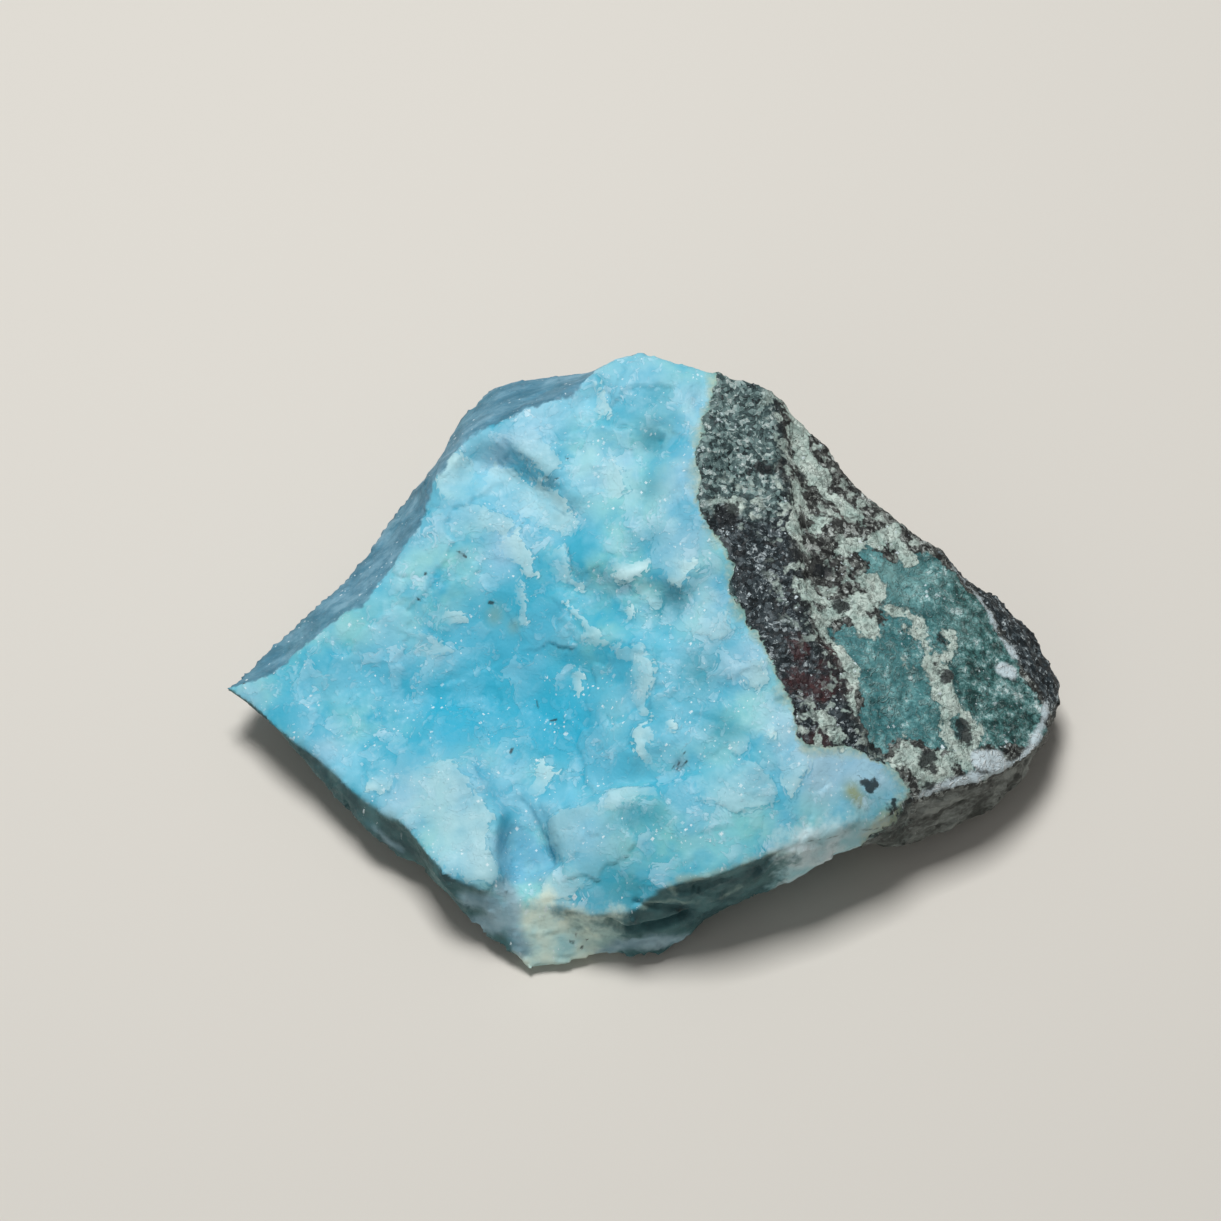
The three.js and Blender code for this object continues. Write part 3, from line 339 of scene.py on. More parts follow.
        "pale": "#eef5f6", "paleShade": "#c8d9df", "darkSpot": "#1b2023", "glint": "#e2f2f7",
        # ramps, dark to pale
        "band": [(0.36, "#3f6f85"), (0.5, "#55859c"), (0.66, "#7ba5b9")],
        "greyRock": [(0.1, "#182325"), (0.3, "#43595a"), (0.55, "#7a9492"), (0.9, "#d0dedb")],
        "blueRock": [(0.1, "#10171a"), (0.4, "#263136"), (0.64, "#535f64"), (0.9, "#c2ced1")],
        "brownRock": [(0.1, "#1a1b1b"), (0.36, "#3d403e"), (0.6, "#747975"), (0.9, "#cdd6d2")],
        "greenLeft": [(0.36, "#2d6266"), (0.5, "#4b8488"), (0.62, "#77abac"), (0.7, "#cbe0e0")],
        "greenRight": [(0.4, "#1d3c3b"), (0.5, "#42716f"), (0.58, "#7ba5a4"), (0.66, "#cbdfde")],
    },
}


# distance to a line of straight stretches
def lineDistance(places, line):
    nearest = np.full(len(places), np.inf)
    for start, end in zip(np.array(line[:-1], float), np.array(line[1:], float)):
        along = (places - start) @ (end - start) / max((end - start) @ (end - start), 1e-9)
        foot = start + np.clip(along, 0, 1)[:, None] * (end - start)
        nearest = np.minimum(nearest, np.linalg.norm(places - foot, axis=1))
    return nearest


# distance to the edge of an area in plan, negative inside
def areaDistance(places, outline):
    closed = [*outline, outline[0]]
    x, y = places.T
    inside = np.zeros(len(places), bool)
    for a, b in zip(closed[:-1], closed[1:]):
        if a[1] != b[1]:
            inside ^= ((a[1] > y) != (b[1] > y)) & (x < a[0] + (b[0] - a[0]) * (y - a[1]) / (b[1] - a[1]))
    distance = lineDistance(places, closed)
    return np.where(inside, -distance, distance)


# sum of soft round spots in plan: x, y, radius, strength
def softSpots(places, spots):
    total = np.zeros(len(places))
    for x, y, radius, strength in spots:
        total += strength * np.exp(-((places[:, 0] - x) ** 2 + (places[:, 1] - y) ** 2) / radius ** 2)
    return total


# 0 to 1 between two limits, smoothly
def ease(low, high, values):
    share = np.clip((values - low) / (high - low), 0, 1)
    return share * share * (3 - 2 * share)


# cloudy values, about -1 to 1, whose clouds are so many mm across
def clouds(places, size, octaves, shift=0.0, fall=1.0):
    return np.array([noise.fractal(Vector(place) / size + Vector((shift,) * 3), fall, 2.0, octaves)
                     for place in places])


# flat chips, each with its own tilt and level, about -1 to 1
def chips(places, size):
    heights = np.empty(len(places))
    for index, place in enumerate(places):
        where = Vector(place) / size
        cell = noise.voronoi(where)[1][0]
        tilt = noise.cell_vector(cell * 7.31) - Vector((0.5, 0.5, 0.5))
        heights[index] = 2.0 * (where - cell).dot(tilt) + 0.6 * noise.cell(cell * 3.17)
    return heights


# thin flakes on a share of the break: each rises from 0 to 1 towards the side where it has broken off
def thinFlakes(places, size, share, ragged, shift):
    rise = np.zeros(len(places))
    for index, place in enumerate(places):
        where = Vector(place) / size + Vector((shift,) * 3)
        where += ragged * noise.noise_vector(where * 1.2) + 0.3 * ragged * noise.noise_vector(where * 6)
        cell = noise.voronoi(where)[1][0]
        if noise.cell(cell * 3.17) < 2 * share - 1:
            way = noise.cell_vector(cell * 7.31) - Vector((0.5, 0.5, 0.5))
            rise[index] = min(max(0.3 + 1.6 * (where - cell).dot(way.normalized()), 0.0), 1.0)
    return rise


# the CAD stone in mm, with even points
def startSurface(node, voxel):
    shape = node.data.copy()
    shape.transform(Matrix.Scale(1 / mm, 4))
    shape.materials.clear()
    piece = bpy.data.objects.new("larimar_surface", shape)
    bpy.context.scene.collection.objects.link(piece)
    remesh = piece.modifiers.new("even points", "REMESH")
    remesh.mode = "VOXEL"
    remesh.voxel_size = voxel
    graph = bpy.context.evaluated_depsgraph_get()
    even = bpy.data.meshes.new_from_object(piece.evaluated_get(graph))
    piece.modifiers.clear()
    piece.data = even
    even.name = "larimar_surface"
    return piece


# a mesh's points, and back, as rows of x, y and z
def readPoints(mesh):
    places = np.empty(len(mesh.vertices) * 3)
    mesh.vertices.foreach_get("co", places)
    return places.reshape(-1, 3)


def writePoints(mesh, places):
    mesh.vertices.foreach_set("co", places.astype(np.float32).ravel())
    mesh.update()


def readNormals(mesh):
    normals = np.empty(len(mesh.vertices) * 3)
    mesh.vertex_normals.foreach_get("vector", normals)
    return normals.reshape(-1, 3)


# moves every point halfway to the middle of its neighbours, so many times
def relax(mesh, places, passes):
    edges = np.empty(len(mesh.edges) * 2, np.int32)
    mesh.edges.foreach_get("vertices", edges)
    first, second = edges.reshape(-1, 2).T
    count = np.bincount(first, minlength=len(places)) + np.bincount(second, minlength=len(places))
    for step in range(passes):
        total = np.zeros_like(places)
        for axis in range(3):
            total[:, axis] += np.bincount(first, places[second, axis], len(places))
            total[:, axis] += np.bincount(second, places[first, axis], len(places))
        places = 0.5 * places + 0.5 * total / count[:, None]
    return places


# cuts the edges of the faces that show most in two
def halveShowingFaces(mesh, way, least):
    work = bmesh.new()
    work.from_mesh(mesh)
    showing = [face.normal.dot(way) > least for face in work.faces]
    edges = [edge for edge in work.edges if any(showing[face.index] for face in edge.link_faces)]
    bmesh.ops.subdivide_edges(work, edges=edges, cuts=1, use_grid_fill=True)
    work.to_mesh(mesh)
    work.free()
    mesh.update()


noise.seed_set(stone["seed"])
surface = startSurface(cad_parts["larimar_stone"], stone["voxel"])
mesh = surface.data
start = readPoints(mesh)
worn = relax(mesh, start, stone["wearPasses"])
moved = np.linalg.norm(worn - start, axis=1)
crisp = ease(*stone["keepEdges"], moved)
writePoints(mesh, worn + (start - worn) * crisp[:, None])
halveShowingFaces(mesh, Vector(stone["showing"]), stone["showingFrom"])
places = relax(mesh, readPoints(mesh), 1)
places[places[:, 2] < stone["flatBelow"], 2] = 0
writePoints(mesh, places)
normals = readNormals(mesh)
triangles = sum(len(polygon.vertices) - 2 for polygon in mesh.polygons)
print("surface:", len(places), "points,", triangles, "triangles")

# where each point lies
far = 9.0      # out of reach of every edge
plan = places[:, :2]
onTop = ease(*stone["topFrom"], normals[:, 2])
face, zones, plates, sides = stone["brokenFace"], stone["zones"], stone["plates"], stone["sides"]
faceHeight = face["start"][2] + face["slope"] * (plan - face["start"][:2]).sum(1) \
    - face["droop"] * np.maximum(0, plan[:, 0] - face["droopFrom"]) ** 2
depth = np.maximum(0, faceHeight - face["rim"] - places[:, 2])
leaning = plan + np.stack([stone["rockLean"] * depth, 0 * depth], 1)
rockDistance = -areaDistance(leaning, zones["rock"])
inRock = ease(-stone["rockBlur"], stone["rockBlur"], rockDistance)
size, octaves, deep = plates["ragged"]
jagged = deep * clouds(places, size, octaves)
size, octaves, deep = plates["fade"]
broken = deep * clouds(places, size, octaves, 4.0)
plateDistance = np.full(len(plan), far)
plateRise = np.zeros(len(plan))        # 1 at a plate's broken side, fading to where it joins the stone
platePale = np.zeros(len(plan))
for way, pale, outline in plates["pieces"]:
    distance = areaDistance(plan, outline) + jagged
    corners = np.array(outline)
    along = (plan - corners.mean(0)) @ np.array((math.cos(way), math.sin(way)))
    rise = ease(*plates["hinge"], along / np.ptp(corners, 0).mean() + broken)
    nearer = (distance < plateDistance) | (distance < 0)
    plateRise = np.where(nearer, rise, plateRise)
    platePale = np.where(nearer, pale * (0.1 + 0.9 * rise), platePale)
    plateDistance = np.minimum(plateDistance, distance)
plateDistance = plateDistance + far * (1 - onTop)

# the stone's sides: what faces outwards or down near its outline in plan
fromMiddle = plan - plan.mean(0)
reach = np.hypot(*fromMiddle.T)
bearings = 120      # one for each 3 degrees
turned = (np.arctan2(fromMiddle[:, 1], fromMiddle[:, 0]) + math.pi) / (2 * math.pi)
bearing = (turned * (bearings - 0.01)).astype(int)
farthest = np.zeros(bearings)
np.maximum.at(farthest, bearing, reach)
sideShare = ease(*sides["steep"], normals[:, 2]) * ease(*sides["nearOutline"], farthest[bearing] - reach)
sideShare = np.maximum(sideShare, ease(*sides["under"], normals[:, 2]))

# relief: flakes, layers and chips on the larimar, lumps and grains on the rock
calm = np.clip(softSpots(plan, stone["calmSpots"]), 0, 0.8)
flakePale = np.zeros(len(plan))
size, height = stone["swell"]
larimarRelief = height * clouds(places, size, 2)
for turn, (size, share, ragged, height, pale) in enumerate(stone["flakes"]):
    rise = thinFlakes(places, size, share, ragged, 5.3 * turn)
    flakePale = np.maximum(flakePale, pale * rise * onTop)
    larimarRelief += height * rise
for size, height in stone["chips"]:
    larimarRelief += height * chips(places, size)
size, height = stone["grain"]
larimarRelief += height * clouds(places, size, 2)
larimarRelief *= 1 - calm
for size, height in stone["sideChips"]:
    larimarRelief += height * chips(places, size) * (1 - onTop)
size, height = stone["rockLumps"]
rockRelief = height * clouds(places, size, 4)
size, height = stone["rockGrain"]
rockRelief += height * chips(places, size)
relief = larimarRelief + (rockRelief - larimarRelief) * inRock
relief += plates["lift"] * plateRise * (1 - ease(-plates["edge"], plates["edge"], plateDistance))
for x, y, radius, deep in stone["dents"]:
    relief -= onTop * deep * softSpots(plan, [(x, y, radius, 1)])
for line, deep, width in stone["grooves"]:
    relief -= deep * np.exp(-(lineDistance(places, line) / width) ** 2)
raised = ease(stone["flatBelow"], stone["fullFrom"], places[:, 2])
places = places + normals * (relief * raised)[:, None]
places[:, 2] = np.maximum(places[:, 2], 0)
writePoints(mesh, places)
print("relief from", round(float(relief.min()), 2), "to", round(float(relief.max()), 2), "mm")


# a value at each point that the finish reads
def writeValues(name, values):
    layer = mesh.attributes.new(name, "FLOAT", "POINT")
    layer.data.foreach_set("value", np.asarray(values, np.float32))


# distances to strokes and spots in plan, on the top alone, and to marks in x, y and z
def strokesDistance(strokes):
    nearest = np.full(len(plan), far)
    for line, width in strokes:
        nearest = np.minimum(nearest, lineDistance(plan, line) - width)
    return nearest + far * (1 - onTop)


def marksDistance(marks):
    return np.min([lineDistance(places, line) - width for line, width in marks], axis=0)


def spotsDistance(spots):
    nearest = np.full(len(plan), far)
    for x, y, radius in spots:
        nearest = np.minimum(nearest, np.hypot(plan[:, 0] - x, plan[:, 1] - y) - radius)
    return nearest + far * (1 - onTop)


writeValues("rockDistance", rockDistance)
writeValues("crestDistance", -areaDistance(leaning, zones["behindCrest"]))
writeValues("lowDistance", areaDistance(plan, zones["darkRock"]))
writeValues("backDistance", areaDistance(plan, zones["behindCrest"]))
writeValues("greenDistance", areaDistance(plan, zones["green"]) + 3 * (1 - onTop))
writeValues("stripDistance", areaDistance(plan, zones["outerStrip"]))
writeValues("ledgeDistance", areaDistance(plan, zones["litLedge"]))
writeValues("tipDistance", areaDistance(plan, zones["creamTip"]))
behind = sideShare * ease(*sides["skinFrom"], plan[:, 1])
writeValues("bandDistance", np.minimum(areaDistance(plan, zones["slateBand"]), 1.0 - 2.0 * behind))
writeValues("creamDistance", strokesDistance(stone["creamStrokes"]))
writeValues("facetDistance", areaDistance(plan, zones["blueFacet"]))
writeValues("rimDistance", marksDistance(stone["rimLight"]))
writeValues("wallBlueDistance", marksDistance(stone["wallBlue"]))
writeValues("crackDistance", marksDistance(stone["cracks"]))
writeValues("paleDistance", strokesDistance(stone["paleStrokes"]))
writeValues("darkDistance", spotsDistance(stone["darkSpots"]))
writeValues("speckDistance", strokesDistance(stone["needles"]))
writeValues("rustDistance", spotsDistance(stone["rustSpots"]))
writeValues("foldShadowDistance", strokesDistance(stone["foldShadowLines"]))
writeValues("plateDistance", plateDistance)
writeValues("plateRise", plateRise)
writeValues("platePale", platePale)
writeValues("sideShare", sideShare)
writeValues("flakePale", flakePale)
writeValues("onTop", onTop)
for tint, spots in stone["tints"].items():
    writeValues(tint, softSpots(plan, spots) * (0.3 + 0.7 * onTop))
for name, (size, octaves, fall) in stone["clouds"].items():
    writeValues(name, 0.5 + 0.27 * clouds(places, size, octaves, size, fall))

mesh.transform(Matrix.Scale(mm, 4))
mesh.update()
for polygon in mesh.polygons:
    polygon.use_smooth = True
print("values written")


# an sRGB hex value as Blender's linear colour
def toLinear(code):
    parts = [int(code[i:i + 2], 16) / 255 for i in (1, 3, 5)]
    return (*[p / 12.92 if p <= 0.04045 else ((p + 0.055) / 1.055) ** 2.4 for p in parts], 1)


# a node with its settings, its links or fixed values, and a ramp's stops
def addNode(tree, kind, inputs=None, stops=(), **choices):
    node = tree.nodes.new(kind)
    for name, value in choices.items():
        setattr(node, name, value)
    for index, (place, code) in enumerate(stops):
        elements = node.color_ramp.elements
        element = elements[index] if index < len(elements) else elements.new(place)
        element.position = place
        element.color = toLinear(code)
    for name, source in (inputs or {}).items():
        socket = node.inputs[name] if isinstance(name, int) else next(
            entry for entry in node.inputs if entry.name == name and entry.enabled)
        if isinstance(source, bpy.types.Node):
            source = next(output for output in source.outputs if output.enabled)
        if isinstance(source, bpy.types.NodeSocket):
            tree.links.new(source, socket)
        else:
            socket.default_value = toLinear(source) if isinstance(source, str) else source
    return node


# Broken larimar (pectolite) on altered basalt wall rock, not cut or polished: the break of its matted fibres
# gives the eye a waxy, half-dull sky blue with paler flakes and tiny glints, and the rock a dull speckle
sizes, colours = stone["sizes"], stone["colours"]
material = bpy.data.materials.new("brokenLarimarOnWallRock")
material.use_nodes = True
tree = material.node_tree
tree.nodes.clear()
mixKind = "ShaderNodeMix"
mathKind = "ShaderNodeMath"
rangeKind = "ShaderNodeMapRange"
noiseKind = "ShaderNodeTexNoise"
vectorKind = "ShaderNodeVectorMath"
cellKind = "ShaderNodeTexVoronoi"
splitKind = "ShaderNodeSeparateColor"
rampKind = "ShaderNodeValToRGB"
position = addNode(tree, "ShaderNodeTexCoord").outputs["Object"]
inMm = addNode(tree, vectorKind, {0: position, "Scale": 1 / mm}, operation="SCALE")
values = {entry.name: addNode(tree, "ShaderNodeAttribute", attribute_name=entry.name).outputs["Fac"]
          for entry in mesh.attributes if entry.data_type == "FLOAT"}

# raggedness that the zones' edges take: broad and fine clouds, about -0.5 to 0.5 together
broadRag = values["broadRag"]
fineRag = addNode(tree, noiseKind, {
    "Vector": inMm, "Scale": 1 / sizes["fineRag"], "Detail": 3.0, "Roughness": 0.5})
rag = addNode(tree, mathKind, {
    0: fineRag, 1: 0.6,
    2: addNode(tree, mathKind, {
        0: broadRag, 1: 1.3, 2: -0.95}, operation="MULTIPLY_ADD")}, operation="MULTIPLY_ADD")


# lays a colour over another where a distance, made ragged, is below a limit
def layOver(under, over, distance, ragged, soft, most=1.0, grow=0.0, by=None):
    edge = addNode(tree, mathKind, {0: by or rag, 1: ragged, 2: values[distance]}, operation="MULTIPLY_ADD")
    inside = addNode(tree, rangeKind, {"Value": edge, "From Min": grow + soft, "From Max": grow - soft,
                                       "To Max": most}, interpolation_type="SMOOTHSTEP")
    return addNode(tree, mixKind, {"Factor": inside, "A": under, "B": over}, data_type="RGBA")


# larimar: sky blue in clouds of a millimetre or two, with teal in the hollows, partly its own deeper tone and
# partly painted shade, whiter towards the rock
clouding = values["clouding"]
cloudShare = addNode(tree, rangeKind, {"Value": clouding, "From Min": 0.36, "From Max": 0.64})
paler = addNode(tree, mixKind, {
    "Factor": addNode(tree, rangeKind, {"Value": values["broadCloud"], "From Min": 0.4, "From Max": 0.6}),
    "A": colours["cloud"], "B": colours["greenCloud"]}, data_type="RGBA")
colour = addNode(tree, mixKind, {"Factor": cloudShare, "A": colours["larimar"], "B": paler}, data_type="RGBA")
patchy = addNode(tree, rangeKind, {
    "Value": clouding, "From Min": 0.3, "From Max": 0.6, "To Min": 0.7, "To Max": 1.15})
for tint, most in stone["tintStrengths"].items():
    amount = addNode(tree, mathKind, {0: values[tint], 1: patchy}, operation="MULTIPLY", use_clamp=True)
    colour = addNode(tree, mixKind, {
        "Factor": addNode(tree, mathKind, {0: amount, 1: most}, operation="MULTIPLY"), "A": colour,
        "B": colours[tint]}, data_type="RGBA")

# pale flakes: thin layers that break off at ragged edges, whitish where they are thickest
flakeLimit = addNode(tree, rangeKind, {
    "Value": addNode(tree, mathKind, {0: values["turquoise"], 1: values["teal"]}, operation="MAXIMUM"),
    "From Max": 1.2, "To Min": 1.0, "To Max": 0.3})
warp = addNode(tree, noiseKind, {"Vector": inMm, "Scale": 1 / sizes["warp"], "Detail": 1.0, "Roughness": 0.6})
warped = addNode(tree, vectorKind, {0: warp.outputs["Color"], 1: (0.9, 0.9, 0.9), 2: inMm},
                 operation="MULTIPLY_ADD")
splinters = addNode(tree, cellKind, {"Vector": warped, "Scale": 1 / sizes["splinters"]})
warped = addNode(tree, vectorKind, {0: splinters.outputs["Color"], 1: (0.22, 0.22, 0.22), 2: warped},
                 operation="MULTIPLY_ADD")
splinterTone = addNode(tree, splitKind, {0: splinters.outputs["Color"]})
angular = addNode(tree, mathKind, {
    0: splinterTone.outputs[0], 1: 0.9,
    2: addNode(tree, mathKind, {
        0: rag, 1: 0.5, 2: -0.45}, operation="MULTIPLY_ADD")}, operation="MULTIPLY_ADD")
paleShare = values["flakePale"]
flakeHeight = 0.0
for size, share, strength in stone["paintedFlakes"]:
    cells = addNode(tree, cellKind, {"Vector": warped, "Scale": 1 / size})
    tone = addNode(tree, splitKind, {0: cells.outputs["Color"]})
    chosen = addNode(tree, rangeKind, {"Value": tone.outputs[0], "From Min": share, "From Max": share - 0.02})
    off = addNode(tree, vectorKind, {0: warped, 1: cells.outputs["Position"]}, operation="SUBTRACT")
    way = addNode(tree, vectorKind, {0: cells.outputs["Color"], 1: (0.5, 0.5, 0.5)}, operation="SUBTRACT")
    along = addNode(tree, vectorKind, {0: off, 1: way}, operation="DOT_PRODUCT").outputs["Value"]
    rise = addNode(tree, mathKind, {
        0: chosen,
        1: addNode(tree, rangeKind, {
            "Value": along, "From Min": -0.12 * size, "From Max": 0.2 * size})}, operation="MULTIPLY")
    paleShare = addNode(tree, mathKind, {
        0: rise,
        1: addNode(tree, mathKind, {0: tone.outputs[1], 1: strength, 2: 0.1}, operation="MULTIPLY_ADD"),
        2: paleShare}, operation="MULTIPLY_ADD")
    flakeHeight = addNode(tree, mathKind, {0: rise, 1: size ** 0.5, 2: flakeHeight}, operation="MULTIPLY_ADD")
paleShare = addNode(tree, mathKind, {0: paleShare, 1: flakeLimit}, operation="MULTIPLY", use_clamp=True)
colour = addNode(tree, mixKind, {"Factor": paleShare, "A": colour, "B": colours["flake"]}, data_type="RGBA")
# painted shadow: a dark teal line just outside each plate's raised, broken side
colour = layOver(
    colour, colours["plateEdge"], "plateDistance", ragged=0.28, soft=0.03,
    most=addNode(tree, mathKind, {
        0: addNode(tree, mathKind, {0: values["plateRise"], 1: 3.0}, operation="POWER"),
        1: 0.45}, operation="MULTIPLY"), grow=0.05, by=angular)
colour = layOver(
    colour, colours["plate"], "plateDistance", ragged=0.24, soft=0.02,
    most=addNode(tree, mathKind, {
        0: values["platePale"],
        1: addNode(tree, rangeKind, {
            "Value": clouding, "From Min": 0.3, "From Max": 0.6, "To Min": 0.65,
            "To Max": 1.1})}, operation="MULTIPLY"), by=angular)
# painted shadow in the folds under the layers' crisp edges
colour = layOver(colour, colours["foldShadow"], "foldShadowDistance", ragged=0.2, soft=0.06, most=0.4)

# sides under the rim and faces turned down, darker and greener: partly their own weathered colour, partly
# painted shade
onSide = addNode(tree, mathKind, {0: values["sideShare"], 1: 0.92}, operation="MULTIPLY")
colour = addNode(tree, mixKind, {
    "Factor": onSide, "A": colour,
    "B": addNode(tree, mixKind, {
        "Factor": addNode(tree, rangeKind, {"Value": broadRag, "From Min": 0.35, "From Max": 0.65}),
        "A": colours["sideShade"], "B": colours["side"]}, data_type="RGBA")}, data_type="RGBA")

# the weathered band is slate blue with streaks; the tip's facet is cream, painted lighter than its own cream
# for the light on it
streakPlace = addNode(tree, "ShaderNodeMapping", {
    "Vector": inMm, "Rotation": (0, 0, -0.62), "Scale": (0.5, 1.3, 1.1)})
streaks = addNode(tree, noiseKind, {"Vector": streakPlace, "Scale": 1.0, "Detail": 4.0, "Roughness": 0.7})
bandColour = addNode(tree, rampKind, {0: streaks}, colours["band"])
colour = layOver(colour, bandColour, "bandDistance", ragged=0.5, soft=0.08, most=0.9)
tipColour = addNode(tree, mixKind, {
    "Factor": cloudShare, "A": colours["tipShade"], "B": colours["tip"]}, data_type="RGBA")
colour = layOver(colour, colours["facet"], "facetDistance", ragged=0.3, soft=0.15, most=0.5)
colour = layOver(
    colour, tipColour, "tipDistance", ragged=0.7, soft=0.3,
    most=addNode(tree, rangeKind, {
        "Value": clouding, "From Min": 0.36, "From Max": 0.5, "To Min": 0.7, "To Max": 0.97}))
# painted light: the lit ledge under the front rim
colour = layOver(
    colour,
    addNode(tree, mixKind, {
        "Factor": cloudShare, "A": colours["ledgeShade"], "B": colours["ledge"]}, data_type="RGBA"),
    "ledgeDistance", ragged=1.2, soft=0.4, most=0.9)
# partly painted light: pale blue patches on the walls' lit facets
colour = layOver(
    colour,
    addNode(tree, mixKind, {
        "Factor": cloudShare, "A": colours["wallBlueShade"], "B": colours["wallBlue"]}, data_type="RGBA"),
    "wallBlueDistance", ragged=0.35, soft=0.25, most=0.9)

# pale yellow-green seam on the larimar's side of the rock
rockEdge = addNode(tree, mathKind, {0: rag, 1: 0.6, 2: values["rockDistance"]}, operation="MULTIPLY_ADD")
onRock = addNode(tree, rangeKind, {"Value": rockEdge, "From Min": -0.03, "From Max": 0.03},
                 interpolation_type="SMOOTHSTEP")
seamWidth = addNode(tree, rangeKind, {
    "Value": broadRag, "From Min": 0.36, "From Max": 0.62, "To Min": -0.65, "To Max": -0.12})
seam = addNode(tree, rangeKind, {"Value": rockEdge, "From Min": seamWidth, "From Max": 0.0, "To Max": 0.8})
larimar = addNode(tree, mixKind, {
    "Factor": seam, "A": colour,
    "B": addNode(tree, mixKind, {
        "Factor": addNode(tree, rangeKind, {"Value": fineRag, "From Min": 0.4, "From Max": 0.6}),
        "A": colours["seamShade"], "B": colours["seam"]}, data_type="RGBA")}, data_type="RGBA")
larimar = layOver(larimar, colours["needle"], "speckDistance", ragged=0.08, soft=0.03, most=0.85)

# wall rock: grains and threads, nearly black to pale grey, in patches
grains = addNode(tree, cellKind, {"Vector": inMm, "Scale": 1 / sizes["grains"]})
grainTone = addNode(tree, splitKind, {0: grains.outputs["Color"]})
patches = addNode(tree, noiseKind, {
    "Vector": addNode(tree, vectorKind, {0: inMm, 1: (2.2, 2.2, 2.2)}, operation="ADD"),
    "Scale": 1 / sizes["patches"], "Detail": 4.0, "Roughness": 0.75})
patchTone = addNode(tree, rangeKind, {"Value": patches, "From Min": 0.34, "From Max": 0.66})
threads = addNode(tree, rangeKind, {
    "Value": addNode(tree, noiseKind, {
        "Vector": inMm, "Scale": 1 / sizes["threads"], "Detail": 3.0, "Roughness": 0.7, "Distortion": 1.5}),
    "From Min": 0.5, "From Max": 0.72})
grainMix = addNode(tree, mathKind, {
    0: addNode(tree, mathKind, {0: grainTone.outputs[0], 1: 1.6}, operation="POWER"), 1: 0.5,
    2: addNode(tree, mathKind, {0: patchTone, 1: 0.3}, operation="MULTIPLY")}, operation="MULTIPLY_ADD")
grainMix = addNode(tree, mathKind, {0: threads, 1: 0.6, 2: grainMix}, operation="MULTIPLY_ADD")
greyRock = addNode(tree, rampKind, {0: grainMix}, colours["greyRock"])
blueRock = addNode(tree, rampKind, {0: grainMix}, colours["blueRock"])
brownRock = addNode(tree, rampKind, {0: grainMix}, colours["brownRock"])
rock = layOver(greyRock, blueRock, "lowDistance", ragged=1.5, soft=0.5)
rock = layOver(rock, brownRock, "backDistance", ragged=1.0, soft=0.2)
rock = layOver(
    rock,
    addNode(tree, mixKind, {
        "Factor": grainTone.outputs[1], "A": colours["rustShade"], "B": colours["rust"]}, data_type="RGBA"),
    "rustDistance", ragged=1.6, soft=0.25, most=0.6)
# painted shade: a dark band along the steep scarp at the rock's crest
crestShade = addNode(tree, rangeKind, {
    "Value": addNode(tree, mathKind, {0: values["crestDistance"]}, operation="ABSOLUTE"), "From Min": 0.35,
    "From Max": 0.0, "To Max": 0.8})
rock = addNode(tree, mixKind, {"Factor": crestShade, "A": rock, "B": colours["crestShadow"]}, data_type="RGBA")

# green face: smooth teal at its left, darker and mottled at its right, with pale crystal specks
mottle = addNode(tree, noiseKind, {
    "Vector": inMm, "Scale": 1 / sizes["mottle"], "Detail": 4.0, "Roughness": 0.76})
greenLeft = addNode(tree, rampKind, {0: mottle}, colours["greenLeft"])
greenRight = addNode(tree, rampKind, {0: mottle}, colours["greenRight"])
rightwards = addNode(tree, rangeKind, {
    "Value": addNode(tree, "ShaderNodeSeparateXYZ", {0: inMm}).outputs[0], "From Min": 9.5, "From Max": 11.5})
green = addNode(tree, mixKind, {"Factor": rightwards, "A": greenLeft, "B": greenRight}, data_type="RGBA")
green = addNode(tree, mixKind, {
    "Factor": addNode(tree, mathKind, {0: threads, 1: 0.5}, operation="MULTIPLY"), "A": green,
    "B": colours["greenThread"]}, data_type="RGBA")
green = addNode(tree, mixKind, {
    "Factor": addNode(tree, mathKind, {
        0: values["haze"], 1: patchTone}, operation="MULTIPLY", use_clamp=True), "A": green,
    "B": colours["haze"]}, data_type="RGBA")
rock = layOver(rock, colours["greenRim"], "greenDistance", ragged=0.9, soft=0.08, most=0.6, grow=0.08)
rock = layOver(rock, green, "greenDistance", ragged=0.9, soft=0.05)
rock = layOver(rock, blueRock, "stripDistance", ragged=0.5, soft=0.1)

# cream crust along its strokes, and in crumbs around them
creamColour = addNode(tree, mixKind, {
    "Factor": patchTone, "A": colours["creamShade"], "B": colours["cream"]}, data_type="RGBA")
creamColour = addNode(tree, mixKind, {
    "Factor": addNode(tree, rangeKind, {
        "Value": grainTone.outputs[2], "From Min": 0.72, "From Max": 0.8, "To Max": 0.45}), "A": creamColour,
    "B": colours["creamSpeck"]}, data_type="RGBA")
crumbs = addNode(tree, rangeKind, {
    "Value": addNode(tree, noiseKind, {
        "Vector": addNode(tree, vectorKind, {0: inMm, 1: (9.1, 9.1, 9.1)}, operation="ADD"),
        "Scale": 1 / sizes["crumbs"], "Detail": 2.0, "Roughness": 0.6}), "From Min": 0.54, "From Max": 0.61,
    "To Max": 0.8})
crumbs = addNode(tree, mathKind, {
    0: crumbs,
    1: addNode(tree, rangeKind, {
        "Value": values["creamDistance"], "From Min": 1.2, "From Max": 0.4})}, operation="MULTIPLY")
crumbs = addNode(tree, mathKind, {
    0: crumbs,
    1: addNode(tree, rangeKind, {"Value": values["greenDistance"], "From Max": 0.2})}, operation="MULTIPLY")
rock = addNode(tree, mixKind, {"Factor": crumbs, "A": rock, "B": creamColour}, data_type="RGBA")

